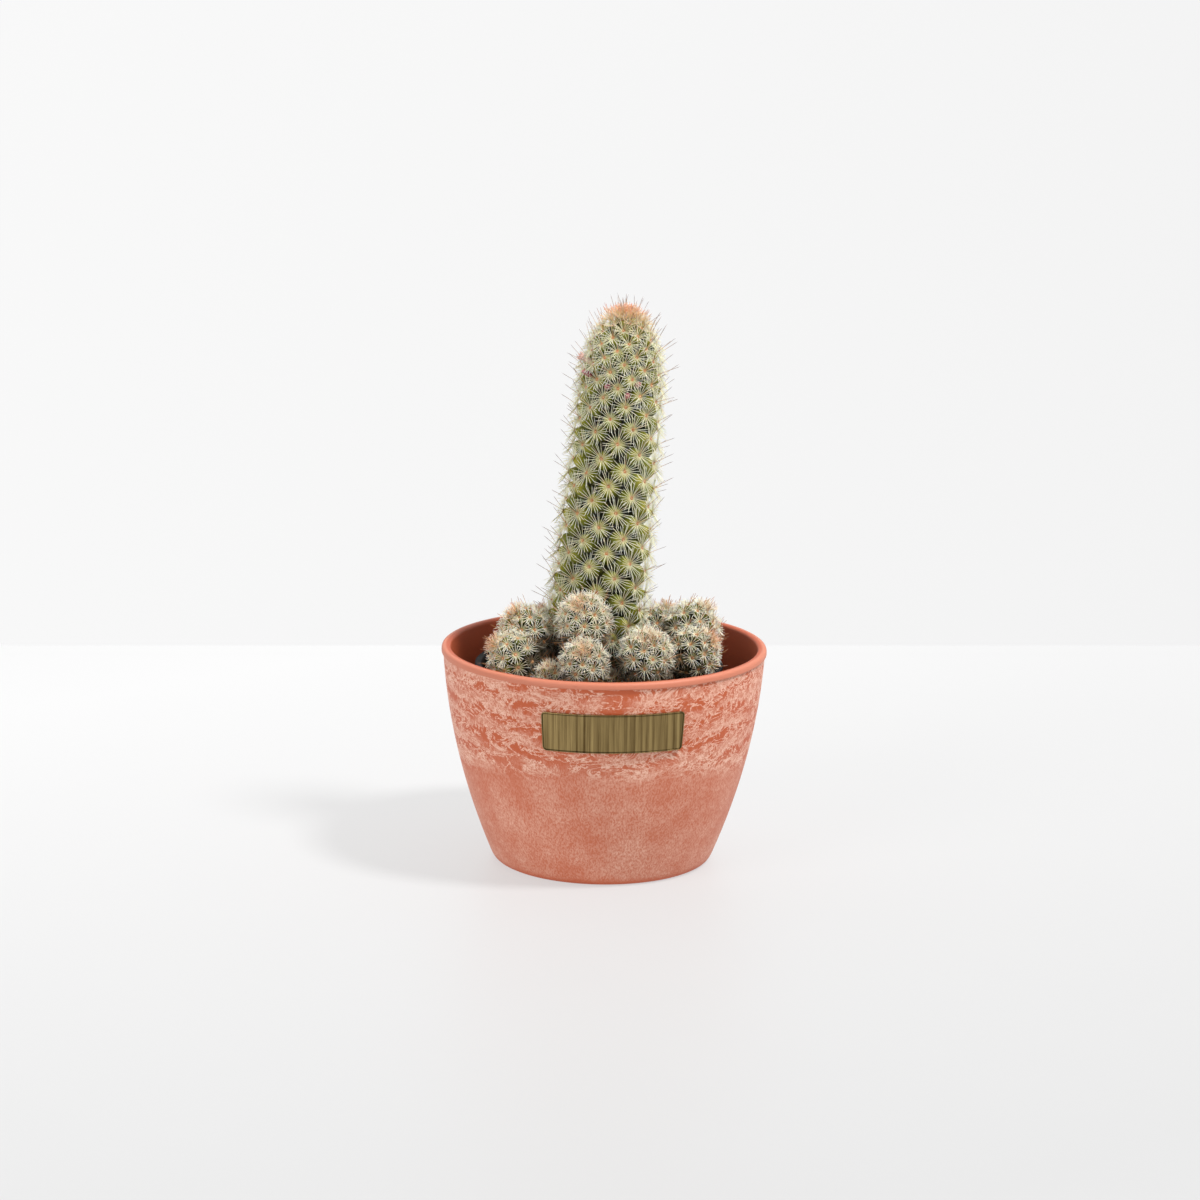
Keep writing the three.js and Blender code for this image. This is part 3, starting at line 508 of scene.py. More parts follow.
def cactus_skin(add, plant):
    """Living cactus skin with its thin wax: green at the tubercles' tips, lightly mottled, and painted
    darker down their sides and nearly black between them as painted shade. On an offset's aged foot
    it is brown-black, partly its corky aged skin and partly painted shade."""
    height, youth, tone = (
        add("Attribute", attribute_name=layer, out="Fac") for layer in ("height", "youth", "tone")
    )
    mottle = add("TexNoise", {"Vector": millimetres(add), "Scale": 0.7, "Detail": 4.0})
    level = add("Math", {0: mottle, 1: 0.5, 2: height}, operation="MULTIPLY_ADD")
    level = add("Math", {0: tone, 1: 0.25, 2: level}, operation="MULTIPLY_ADD")
    level = add("MapRange", {0: level, 1: 0.375, 2: 1.375})
    # painted shade: the skin is painted darker down the tubercles' sides and nearly black deep between them
    greens = [(0.2, plant.valley_shade[:]), (0.66, plant.flank[:]), (1.0, plant.tip[:])]
    shade = add("ValToRGB", {0: level}, ramp=greens)
    # paler where it is young, then brown-black on an offset's aged foot: partly corky aged skin, partly
    # painted shade where that foot sits in shadow
    for gain, code in ((0.35, "#B9B274"), (-0.8, "#1D170C")):
        share = add("Math", {0: youth, 1: gain}, operation="MULTIPLY")
        shade = add("Mix", {0: share, 6: shade, 7: linear(code)}, **IN_COLOUR)
    bump = add("Bump", {"Height": mottle, "Strength": 0.2, "Distance": 0.3 * MM})
    return {"Base Color": shade, "Roughness": 0.45, "Normal": bump, "Specular IOR Level": 0.3}


def areole_felt(add, plant):
    """Short felt in an areole: orange-brown, with a painted highlight: paler in patches towards its top."""
    fuzz = add("TexNoise", {"Vector": millimetres(add), "Scale": 2.4, "Detail": 3.0})
    height = add("Attribute", attribute_name="height", out="Fac")
    # painted highlight: the felt is painted paler in patches towards the top of its dome
    painted_highlight = add("MapRange", {0: fuzz, 1: 0.45, 2: 0.65})
    painted_highlight = add("Math", {0: painted_highlight, 1: height}, operation="MULTIPLY")
    shade = add("Mix", {0: painted_highlight, 6: plant.wool, 7: linear("#F0D6A8")}, **IN_COLOUR)
    bump = add("Bump", {"Height": fuzz, "Strength": 0.6, "Distance": 0.2 * MM})
    return {"Base Color": shade, "Roughness": 0.9, "Normal": bump, "Sheen Weight": 0.3}


def spine_horn(add, plant, second, waist, tip):
    """Spines of dry horn, grown from their feet: amber at the foot and cream beyond, some of a
    second shade, the centrals darker towards the tip, and the young ones of a crown flushed."""
    along, youth, tone, central = (
        add("Attribute", attribute_name=layer, out="Fac")
        for layer in ("along", "youth", "tone", "central")
    )
    amber, cream, blush = plant.amber[:], plant.cream[:], plant.blush[:]
    radial, middle, young = (
        add("ValToRGB", {0: along}, ramp=ramp)
        for ramp in (
            [(0.0, amber), (0.08, linear("#E8D8A8")), (0.22, cream), (1.0, linear("#FCF8EC"))],
            [(0.0, amber), (0.3, linear("#D9B285")), (0.6, waist), (1.0, tip)],
            [(0.0, cream), (0.3, linear("#FDCB92")), (0.75, blush), (1.0, linear("#B8545A"))],
        )
    )
    radial = add("Mix", {0: tone, 6: radial, 7: second}, **IN_COLOUR)
    shade = add("Mix", {0: central, 6: radial, 7: middle}, **IN_COLOUR)
    flushed = add("MapRange", {0: central, 3: 0.65, 4: 1.0})
    flushed = add("Math", {0: flushed, 1: youth}, operation="MULTIPLY")
    shade = add("Mix", {0: flushed, 6: shade, 7: young}, **IN_COLOUR)
    # painted shade: spines on an offset's aged foot turn dark brown, partly with age and partly for the
    # shadow that foot sits in
    old_and_shaded = add("Math", {0: youth, 1: -0.85}, operation="MULTIPLY")
    shade = add("Mix", {0: old_and_shaded, 6: shade, 7: linear("#4A3B28")}, **IN_COLOUR)
    return {
        "Base Color": shade,
        "Roughness": 0.42,
        "Subsurface Weight": 0.5,
        "Subsurface Radius": (1.0, 0.75, 0.5),
        "Subsurface Scale": 0.4 * MM,
    }


def bud_petals(add, plant):
    """Closed flower buds, fleshy and smooth: magenta with a green foot, drying pale at the tip."""
    height, tone = (add("Attribute", attribute_name=layer, out="Fac") for layer in ("height", "tone"))
    foot, drying, tip = linear("#7D8F45"), linear("#9C2C4C"), linear("#C77C84")
    shade = add("ValToRGB", {0: height}, ramp=[(0.0, foot), (0.3, plant.bud[:]), (0.75, drying), (1.0, tip)])
    shade = add("Mix", {0: tone, 6: shade, 7: linear("#E3BDB0")}, **IN_COLOUR)
    return {"Base Color": shade, "Roughness": 0.45}


def acrylic_opal(add, shade, roughness, glow, rise):
    """Opal acrylic sheet, sanded matt and lit a little from behind, which softens the shadows. The
    glow grows by rise per millimetre, so one side of the sheet looks brighter than the other."""
    place = millimetres(add)
    cast = add("TexNoise", {"Vector": place, "Scale": 0.02, "Detail": 2.0})
    darker = [c * 0.98 for c in shade[:3]] + [1.0]
    grown = add("VectorMath", {0: place, 1: rise}, out="Value", operation="DOT_PRODUCT")
    lit = add("MapRange", {0: grown, 1: -0.1, 2: 0.1, 3: glow - 0.1, 4: glow + 0.1})
    shaded = add("Mix", {0: cast, 6: shade, 7: darker}, **IN_COLOUR)
    return {
        "Base Color": shaded,
        "Roughness": roughness,
        "Specular IOR Level": 0.3,
        "Emission Color": (1, 1, 1, 1),
        "Emission Strength": lit,
    }


# Outer pot and plate


def pot_wall_radius(pot, height):
    """The outer wall's radius: one quadratic curve from the ground to the lip."""
    t = height / pot.height
    top = pot.lip_radius - pot.lip_step
    return (1 - t) ** 2 * pot.base_radius + 2 * t * (1 - t) * pot.belly_radius + t**2 * top


def pot_profile(pot):
    lip_foot = pot.height - pot.lip_height
    inside = pot.lip_radius - pot.lip_width
    bead = pot.lip_width / LIP_TO_ROUND
    middle = pot.height / 2
    wall_foot = (pot_wall_radius(pot, FOOT_ROUND), FOOT_ROUND)
    base = (pot.base_radius - FOOT_ROUND + MM, 0)
    wall = [(pot_wall_radius(pot, z), z) for z in np.linspace(FOOT_ROUND, lip_foot - 0.3 * MM, 26)[1:]]
    lip_under = (pot.lip_radius - 0.25 * MM, lip_foot + 0.05 * MM)
    lip_start = (pot.lip_radius, lip_foot + 0.5 * MM)
    lip_outer = (pot.lip_radius, pot.height - bead)
    lip_inner = (inside + bead, pot.height)
    well_top = (inside, pot.height - bead)
    well_foot = (pot.base_radius - pot.lip_width, POT_FLOOR + FOOT_ROUND)
    belly = 2 * pot_wall_radius(pot, middle) - (wall_foot[0] + pot_wall_radius(pot, lip_foot)) / 2
    floor_edge = (well_foot[0] - FOOT_ROUND, POT_FLOOR)
    return [
        (0, BASE_HOLLOW),
        (base[0] - FOOT_RING - MM, BASE_HOLLOW),
        (base[0] - FOOT_RING, 0),
        base,
        *curved(base, (pot.base_radius, 0), wall_foot, 5),
        *wall,
        *curved(wall[-1], (wall[-1][0], lip_foot), lip_under, 3),
        *curved(lip_under, (pot.lip_radius, lip_foot + 0.1 * MM), lip_start, 3),
        lip_outer,
        *curved(lip_outer, (pot.lip_radius, pot.height), (pot.lip_radius - bead, pot.height), 6),
        lip_inner,
        *curved(lip_inner, (inside, pot.height), well_top, 6),
        *curved(well_top, (belly - pot.lip_width, middle), well_foot, 14),
        *curved(well_foot, (well_foot[0] - MM, POT_FLOOR), floor_edge, 4),
        (0, POT_FLOOR),
    ]


def plate_mesh(pot):
    """A plate with rounded corners and a narrow raised rim, bent round the wall."""
    bm = bmesh.new()
    bmesh.ops.create_cube(bm, size=1)
    bmesh.ops.scale(bm, verts=bm.verts, vec=(pot.plate_width, pot.plate_thickness, pot.plate_height))
    corners = [e for e in bm.edges if abs(e.verts[0].co.y - e.verts[1].co.y) > 1e-6]
    bmesh.ops.bevel(
        bm, geom=corners, offset=PLATE_CORNER, affect="EDGES", segments=5, profile=0.5, material=-1
    )
    front = min(bm.faces, key=lambda face: face.normal.y)
    edges = front.edges[:]
    bmesh.ops.inset_region(bm, faces=[front], thickness=RIM_WIDTH, depth=0)
    bmesh.ops.inset_region(bm, faces=[front], thickness=RIM_SLOPE, depth=-RIM_HEIGHT)
    rim = bm.verts.layers.float.new("rim")
    for vert in front.verts:
        vert[rim] = 1.0
    bmesh.ops.inset_region(bm, faces=[front], thickness=RIM_LINE, depth=0)
    for vert in front.verts:
        vert[rim] = 0.0
    bmesh.ops.bevel(bm, geom=edges, offset=PLATE_EDGE, affect="EDGES", segments=2, profile=0.5, material=-1)
    for way, span, parts in (((1, 0, 0), pot.plate_width, 40), ((0, 0, 1), pot.plate_height, 8)):
        for i in range(1, parts):
            slice_across(bm, Vector(way) * ((i / parts - 0.5) * span), way)
    middle_radius = pot_wall_radius(pot, pot.plate_middle)
    for vert in bm.verts:
        across, depth, up = vert.co
        height = pot.plate_middle + up
        radius = pot_wall_radius(pot, height) + CLEARANCE + pot.plate_thickness / 2 - depth
        angle = pot.plate_turn + across / middle_radius
        vert.co = (radius * sin(angle), -radius * cos(angle), height)
    bmesh.ops.recalc_face_normals(bm, faces=bm.faces)
    return bm


# Nursery pot and soil


def nursery_inner_radius(soil, height):
    t = (height - POT_FLOOR) / (soil.top - POT_FLOOR)
    return mix(soil.base_radius - NURSERY_WALL, soil.lip_radius - NURSERY_LIP, t)


def nursery_profile(soil):
    floor = POT_FLOOR + NURSERY_WALL
    lip = soil.top - NURSERY_WALL
    drop = soil.top - NURSERY_DROP
    outer = soil.lip_radius
    return [
        (0, POT_FLOOR),
        (soil.base_radius - MM, POT_FLOOR),
        (soil.base_radius, POT_FLOOR + MM),
        (nursery_inner_radius(soil, lip) + NURSERY_WALL, lip),
        (outer - NURSERY_WALL, lip),
        (outer - NURSERY_WALL, drop),
        (outer, drop),
        *curved((outer, soil.top - 0.6 * MM), (outer, soil.top), (outer - 0.6 * MM, soil.top), 4),
        (nursery_inner_radius(soil, soil.top) + 0.5 * MM, soil.top),
        (nursery_inner_radius(soil, soil.top), soil.top - 0.5 * MM),
        (nursery_inner_radius(soil, soil.top - 9 * MM), soil.top - 9 * MM),
        (nursery_inner_radius(soil, floor), floor),
        (0, floor),
    ]


def soil_height(soil, x, y):
    """Height of the crumbly soil's top."""
    edge = nursery_inner_radius(soil, soil.soil_top)
    share = min(hypot(x - NURSERY_X, y) / edge, 1)
    dome = SOIL_DOME * (1 - share**2)
    lumps = noise.fractal(Vector((x, y, 0)) / LUMP_WIDTH, 0.9, 2.2, 4) * LUMP_HEIGHT
    return soil.soil_top + dome + lumps


def soil_mesh(soil):
    floor = POT_FLOOR + NURSERY_WALL
    foot = nursery_inner_radius(soil, floor) - CLEARANCE
    rim = soil.soil_top - 1.5 * MM
    edge = nursery_inner_radius(soil, rim) - CLEARANCE
    top = [(edge * share, soil.soil_top) for share in np.linspace(1, 0, 34)]
    profile = [(0, floor), (foot, floor), (edge, rim - 6 * MM), (edge, rim), *top]
    bm = spun(profile, 96, centre=(NURSERY_X, 0))
    for vert in bm.verts:
        if vert.co.z > soil.soil_top - 0.1 * MM:
            vert.co.z = soil_height(soil, vert.co.x, vert.co.y)
    return bm


def scatter_crumbs(bm, soil, rng):
    """Loose crumbs of bark and peat, half sunk in the soil."""
    seed = bmesh.new()
    bmesh.ops.create_icosphere(seed, subdivisions=1, radius=1)
    for vert in seed.verts:
        vert.co *= 1 + 0.35 * noise.noise(vert.co * 1.7)
    stamp = Stamp(seed, ())
    edge = nursery_inner_radius(soil, soil.soil_top) - 1.5 * MM
    for _ in range(soil.crumbs):
        reach, angle = edge * sqrt(rng.random()), tau * rng.random()
        x, y = NURSERY_X + reach * cos(angle), reach * sin(angle)
        size = mix(0.4, 1.6, rng.random() ** 2) * MM
        turn = Matrix.Rotation(tau * rng.random(), 3, (rng.random(), rng.random(), 1))
        place = (x, y, soil_height(soil, x, y) + size * 0.1)
        stamp.put(bm, place, turn, (size, size * mix(0.5, 1, rng.random()), size * 0.6))


# The plant


class Skin:
    """A head's outline turned about its bent middle line. It finds the point at a distance s along
    the outline from the crown, at an angle round the middle line, and raised off the outline."""

    def __init__(self, head, soil_top):
        apex, facing, foot, root = head["apex"], head["facing"], head["foot"], head["root"]
        reach = apex.z - soil_top
        ground = Vector((foot[0], foot[1], soil_top))
        above = ground + Vector((0, 0, min(reach * 0.3, 14 * MM)))
        bend = interpolate_bezier(apex, apex - facing * reach * 0.38, above, ground, 201)
        self.axis = np.array([*bend, ground - Vector((0, 0, root))])
        self.axis_at = self.measure(self.axis)
        self.axis_length = self.axis_at[-1]
        self.to_soil = self.axis_length - root
        outline = self.outline(head)
        at = self.measure(outline)
        self.length = at[-1]
        self.s = np.linspace(0, self.length, 401)
        self.radius = np.interp(self.s, at, outline[:, 0])
        self.below = np.interp(self.s, at, outline[:, 1])
        self.slope_radius = np.gradient(self.radius, self.s)
        self.slope_below = np.gradient(self.below, self.s)
        self.tangents = np.gradient(self.axis, self.axis_at, axis=0)
        lean = (apex.x - foot[0], apex.y - foot[1])
        self.lean = atan2(lean[1], lean[0]) if hypot(*lean) > 1e-9 else 0.0
        self.side = np.array([-sin(self.lean), cos(self.lean), 0])

    @staticmethod
    def measure(points):
        steps = np.linalg.norm(np.diff(points, axis=0), axis=1)
        return np.concatenate([[0], np.cumsum(steps)])

    def outline(self, head):
        """Points of radius and depth below the crown, from the crown to the root's end."""
        radius, below = head["shoulder"]
        belly_radius, belly = head["belly"]
        neck, fullness = head["neck"], head["fullness"]
        bare = self.to_soil - BARE_NECK * MM
        drop = (bare - belly) / 2
        hang = mix(0.65, 1.3, head["stout"])
        corners = [
            ((0, 0), (radius * fullness, 0), (radius, below * (1 - fullness)), (radius, below)),
            (
                (belly_radius, belly),
                (belly_radius, belly + drop * hang),
                (neck, bare - drop * (2 - hang)),
                (neck, bare),
            ),
        ]
        points = []
        for curve in corners:
            points += [p[:2] for p in interpolate_bezier(*(Vector((*c, 0)) for c in curve), 160)]
        points.append((neck, self.to_soil + head["root"]))
        points = np.array(points)
        repeats = np.flatnonzero(np.diff(self.measure(points)) <= 1e-9) + 1
        return np.delete(points, repeats, axis=0)

    def along_at(self, below):
        """The distance s at which the outline has fallen this far below the crown."""
        return float(np.interp(below, self.below, self.s))

    def place(self, s, angle, rise=0.0):
        s, angle, rise = np.broadcast_arrays(np.asarray(s, float), angle, rise)
        out = np.interp(s, self.s, self.radius) + rise * np.interp(s, self.s, self.slope_below)
        down = np.interp(s, self.s, self.below) - rise * np.interp(s, self.s, self.slope_radius)
        on_axis = np.clip(down, 0, self.axis_length)
        middle = np.stack([np.interp(on_axis, self.axis_at, self.axis[:, i]) for i in range(3)], -1)
        tangent = -np.stack([np.interp(on_axis, self.axis_at, self.tangents[:, i]) for i in range(3)], -1)
        tangent /= np.linalg.norm(tangent, axis=-1, keepdims=True)
        middle += tangent * (on_axis - down)[..., None]
        ahead = np.cross(self.side, tangent)
        ahead /= np.linalg.norm(ahead, axis=-1, keepdims=True)
        turn = angle - self.lean
        return middle + ahead * (out * np.cos(turn))[..., None] + self.side * (out * np.sin(turn))[..., None]

    def axes(self, s, angle):
        """Here, up towards the crown, and square to the skin."""
        small = 0.05 * MM
        radius = max(float(np.interp(s, self.s, self.radius)), small)
        points = self.place(
            [s, max(s - small, 0), s, s], [angle, angle, angle + small / radius, angle], [0, 0, 0, small]
        )
        here, above, beside, proud = (Vector(p) for p in points)
        up, around = (above - here).normalized(), (beside - here).normalized()
        square = up.cross(around).normalized()
        if square.dot(proud - here) < 0:
            square.negate()
        return here, up, square


def place_areoles(skin, head):
    """Areoles in a golden spiral from the crown down, each with its own share of the surface,
    so that one of them falls on the head's mark."""
    crown, shoulder, side, crowding = head["cell"]
    step = skin.length / 1600
    s = np.arange(2 * step, skin.along_at(head["spiny_to"]), step)
    crowded = smoothstep(s, 0, crowding * MM)
    aged = smoothstep(s, crowding * MM, 4.7 * crowding * MM)
    share = mix(mix(crown, shoulder, crowded), side, aged) * MM * MM
    count = np.cumsum(tau * np.interp(s, skin.s, skin.radius) * step / share)
    mark, mark_angle = head["mark"]
    at_mark = float(np.interp(mark, s, count))
    marked = int(np.ceil(at_mark))
    order = np.floor(count + marked - at_mark).astype(int)
    youth = 1 - smoothstep(s, 0.1 * crowding * MM, head["tuft"] * MM)
    # past the head's ageing span youth falls below nought, where skin and spines are painted dark: partly
    # aged, partly painted shade
    youth -= smoothstep(s, *(reach * MM for reach in head["ageing"]))
    return [
        (float(s[i]), mark_angle - DIVERGENCE * (order[i] - marked), sqrt(share[i]), float(youth[i]))
        for i in np.flatnonzero(np.diff(order, prepend=0) > 0)
    ]


def core_mesh(skin, pitch_at):
    """The stem inside its tubercles: a grid wrapped round the middle line, closed at both ends."""
    rings, sides = 90, 36
    bm = bmesh.new()
    bmesh.ops.create_grid(bm, x_segments=sides, y_segments=rings, size=0.5)
    columns = np.array([v.co for v in bm.verts])
    s = (0.5 - columns[:, 1]) * skin.length
    angle = (columns[:, 0] + 0.5) * tau
    for vert, place in zip(bm.verts, skin.place(s, angle, -TUBERCLE_DEPTH * pitch_at(s))):
        vert.co = place
    bmesh.ops.remove_doubles(bm, verts=bm.verts, dist=1e-6)
    return bm


def grow_head(head, plant, soil_top, materials, stamps):
    """Builds a head's flesh and its spines, and returns its skin."""
    rng = random.Random(head["seed"])
    skin = Skin(head, soil_top)
    areoles = place_areoles(skin, head)
    spots = np.array([a[0] for a in areoles])
    pitches = np.array([a[2] for a in areoles])
    skirt = skin.along_at(head["spiny_to"])

    def pitch_at(s):
        fade = np.clip((skirt + 8 * MM - s) / (8 * MM), 0, 1)
        return np.interp(s, spots, pitches) * fade * np.clip(s / (3 * MM), 0.2, 1)

    flesh = core_mesh(skin, pitch_at)
    # the core's height stays nought, so it takes the nearly black painted shade deep between the tubercles
    for name in ("height", "youth", "tone"):
        flesh.verts.layers.float.new(name)
    spines = bmesh.new()
    for s, angle, pitch, youth in areoles:
        here, up, square = skin.axes(s, angle)
        fresh = max(youth, 0)
        lean = TUBERCLE_LEAN * (1 - fresh)
        axis = (square * cos(lean) + up * sin(lean)).normalized()
        rise = (up - axis * up.dot(axis)).normalized()
        turned = (rise.cross(axis), rise, axis)
        tip = here + up * min(pitch * TUBERCLE_SHIFT, s / 3)
        tall = TUBERCLE_DEPTH * pitch * 1.25 + 0.6 * MM
        # painted shade: a head's dark lowers its skin's tone, so the offsets, low in the stem's shade, are
        # painted darker
        tone = rng.random() - head["dark"]
        wide = pitch * head["swell"]
        stamps["tubercle"].put(flesh, tip - axis * tall, turned, (wide, wide, tall), youth=youth, tone=tone)
        pad = min(0.95 * MM, pitch * 0.17)
        felt_foot = tip - axis * FELT_SINK * MM
        stamps["felt"].put(flesh, felt_foot, turned, (pad, pad, FELT_THICK * MM), youth=youth)
        grow_areole(spines, rng, tip, turned, pad, pitch, youth, head, plant, stamps)
    name = head["name"]
    finish_piece(name + "_flesh", flesh, materials[:2], (name,))
    finish_piece(name + "_spines", spines, materials[2:])
    return skin


def grow_areole(into, rng, tip, axes, pad, pitch, youth, head, plant, stamps):
    """One star of radial spines and its centrals, sparser where the areoles stand close."""
    across, rise, axis = axes
    fresh = max(youth, 0)
    room = max(pitch / (sqrt(head["cell"][2]) * MM), fresh) ** THINNING
    count = round(plant.radials * head["number"] * room) + rng.randint(-1, 1)
    offset = tau * rng.random()

    def spine(heading, above, size, thick, central, start, young):
        outward = rise * cos(heading) + across * sin(heading)
        towards = axis * sin(above) + outward * cos(above)
        flat = axis.cross(towards)
        if flat.length < 1e-6:
            flat = across.copy()
        flat.normalize()
        bow_way = flat.cross(towards).normalized()
        stamps["needle"].put(
            into,
            tip + outward * start,
            (bow_way, flat, towards),
            (thick, thick, size),
            bow=-size * mix(0.0, 0.09, rng.random()),
            youth=young * (head["flush"] if young > 0 else 1.0),
            tone=rng.random(),
            central=central,
        )

    flat_rise = mix(0.24, 0.85, fresh)
    for i in range(count):
        heading = offset + tau * (i + mix(-0.28, 0.28, rng.random())) / count
        above = flat_rise + mix(-0.09, 0.16, rng.random())
        size = plant.radial_length * head["spines"] * room * mix(0.84, 1.06, rng.random())
        thick = plant.spine_radius * head["thick"] * mix(0.85, 1.1, rng.random())
        spine(heading, above, size, thick, 0.0, pad * 0.6, youth)
    centrals = rng.choice((1, 1, 2, 2)) + round(3 * fresh)
    turn = mix(-0.9, 0.9, rng.random())
    for i in range(centrals):
        spread = (i - (centrals - 1) / 2) * mix(1.3, 0.9, fresh)
        above = head["central_rise"] + mix(-0.35, 0.3, rng.random()) + 0.25 * fresh
        tuft = fresh if rng.random() < 0.72 else min(youth, 0)
        size = plant.central_length * head["centrals"] * mix(0.75, 1.06, rng.random())
        size *= mix(1, 0.6, max(tuft, 0))
        spine(turn + spread, above, size, plant.spine_radius * 0.95, 1.0, pad * 0.25, tuft)


def main_stem_head():
    return dict(
        name="main_stem",
        slot="cactus_stem",
        seed=7,
        apex=Vector((7.4, 0, 236.7)) * MM,
        facing=Vector((0.05, 0, 1)).normalized(),
        foot=(-6.3 * MM, 0),
        shoulder=(17.4 * MM, 34 * MM),
        belly=(20.45 * MM, 130 * MM),
        neck=14 * MM,
        stout=0.5,
        fullness=0.62,
        root=14 * MM,
        swell=0.59,
        dark=0.0,
        cell=(9, 36, 101, 15),
        tuft=17,
        ageing=(142, 175),
        mark=(STEM_MARK[0] * MM, STEM_MARK[1]),
        spiny_to=142 * MM,
        spines=1.0,
        centrals=1.0,
        central_rise=1.08,
        number=1.0,
        thick=1.0,
        flush=1.0,
    )


def pup_head(index, centre, facing, foot, radius, stout, soil_top):
    facing = Vector(facing).normalized()
    dome = radius * 1.1 * MM
    apex = Vector(centre) * MM + facing * dome
    return dict(
        name=f"pup_{index + 1}",
        slot="cactus_offset",
        seed=31 + index,
        apex=apex,
        facing=facing,
        foot=(foot[0] * MM, foot[1] * MM),
        shoulder=(radius * MM, dome),
        belly=(radius * MM, dome),
        neck=radius * mix(0.5, 0.7, stout) * MM,
        stout=stout,
        fullness=0.56,
        root=9 * MM,
        swell=0.56,
        # the offsets' skin is painted darker, as painted shade
        dark=0.95,
        cell=(10, 34, 58, 9),
        tuft=6,
        ageing=(1.3 * radius, 1.95 * radius),
        spiny_to=min(apex.z - soil_top - 6 * MM, dome + radius * 1.2 * MM),
        mark=(dome, index * 1.3),
        spines=0.76,
        centrals=0.66,
        central_rise=1.0,
        number=0.82,
        thick=1.15,
        flush=PUP_FLUSH[index],
    )


def build_stamps():
    tubercle = ((0, 0), (1, 0), (0.7, 0.38), (0.42, 0.76), (0.2, 0.97), (0, 1))
    small = ((0, 0), (1, 0), (0.78, 0.35), (0.48, 0.76), (0.22, 0.98), (0, 1))
    felt = ((0, 0), (1, 0.1), (0.8, 0.7), (0, 1))
    return {
        "needle": needle_stamp(),
        "tubercle": turned_stamp(tubercle, 10),
        "small_tubercle": turned_stamp(small, 8),
        "felt": turned_stamp(felt, 7, material=1),
    }


def plant_materials(plant, spines, second, waist, tip):
    return [
        bpy.data.materials.get("cactus_skin_waxy") or new_material("cactus_skin_waxy", cactus_skin, plant),
        bpy.data.materials.get("areole_felt") or new_material("areole_felt", areole_felt, plant),
        new_material(spines, spine_horn, plant, linear(second), linear(waist), tip[:]),
    ]


# Operators


class CACTUS_OT_outer_pot(bpy.types.Operator):
    """Make the tapering outer pot"""

    bl_idname = "cactus.make_outer_pot"
    bl_label = "Outer Pot"

    def execute(self, context):
        pot = context.scene.cactus_pot
        bm = spun(pot_profile(pot), 160)
        outside = bm.verts.layers.float.new("outside")
        for vert in bm.verts:
            proud = hypot(*vert.co.xy) - pot_wall_radius(pot, vert.co.z)
            vert[outside] = float(proud > -1.4 * MM)
        clay = [new_material("terracotta_composite_moulded", terracotta_moulded, pot)]
        finish_piece("outer_pot_cast", bm, clay, ("outer_pot",))
        return {"FINISHED"}


class CACTUS_OT_brass_plate(bpy.types.Operator):
    """Make the blank brass plate on the outer pot"""

    bl_idname = "cactus.make_brass_plate"
    bl_label = "Brass Plate"

    def execute(self, context):
        pot = context.scene.cactus_pot
        bm = plate_mesh(pot)
        brass = [new_material("antique_brass_brushed", antique_brass_brushed, pot)]
        finish_piece("brass_plate_brushed", bm, brass, ("brass_plate",), smooth=False)
        return {"FINISHED"}


class CACTUS_OT_nursery_pot(bpy.types.Operator):
    """Make the black nursery pot"""

    bl_idname = "cactus.make_nursery_pot"
    bl_label = "Nursery Pot"

    def execute(self, context):
        soil = context.scene.cactus_soil
        bm = spun(nursery_profile(soil), 96, centre=(NURSERY_X, 0))
        plastic = [new_material("polypropylene_black_formed", polypropylene_formed, soil)]
        finish_piece("nursery_pot_formed", bm, plastic, ("nursery_pot",))
        return {"FINISHED"}


class CACTUS_OT_soil(bpy.types.Operator):
    """Make the soil and its loose crumbs"""

    bl_idname = "cactus.make_soil"
    bl_label = "Soil"

    def execute(self, context):
        soil = context.scene.cactus_soil
        bm = soil_mesh(soil)
        scatter_crumbs(bm, soil, random.Random(5))
        peat = [new_material("potting_mix_damp", potting_mix, soil)]
        finish_piece("soil_crumbled", bm, peat, ("soil",))
        return {"FINISHED"}


class CACTUS_OT_main_stem(bpy.types.Operator):
    """Make the tall stem with its spines and buds"""

    bl_idname = "cactus.make_main_stem"
    bl_label = "Main Stem"

    def execute(self, context):
        plant = context.scene.cactus_plant
        soil_top = context.scene.cactus_soil.soil_top
        materials = plant_materials(plant, "spine_horn_dry", "#EDE9BE", "#A8958A", plant.umber)
        skin = grow_head(main_stem_head(), plant, soil_top, materials, build_stamps())
        profile = ((0, 0), (0.75, 0.02), (1, 0.28), (0.92, 0.55), (0.6, 0.82), (0.2, 0.98), (0, 1))
        stamp = turned_stamp(profile, 9)
        buds = bmesh.new()
        for below, angle, size, dry in BUDS:
            here, up, square = skin.axes(skin.along_at(below * MM), radians(angle))
            axis = (square + up * 0.25).normalized()
            rise = (up - axis * up.dot(axis)).normalized()
            root = here - axis * BUD_ROOT * MM
            across = rise.cross(axis)
            wide = BUD_RADIUS * MM
            stamp.put(buds, root, (across, rise, axis), (wide, wide, size * MM), tone=dry)
            for i in range(PETALS if dry == 1 else 0):
                heading = tau * i / PETALS
                out = rise * cos(heading) + across * sin(heading)
                along = (axis + out * PETAL_SPREAD).normalized()
                flat = along.cross(out).normalized()
                place = root + axis * size * 0.5 * MM
                petal = [side * MM for side in PETAL]
                stamp.put(buds, place, (flat, along.cross(flat), along), petal, tone=dry)
        petals = [new_material("bud_petals_fleshy", bud_petals, plant)]
        finish_piece("main_stem_buds", buds, petals)
        return {"FINISHED"}


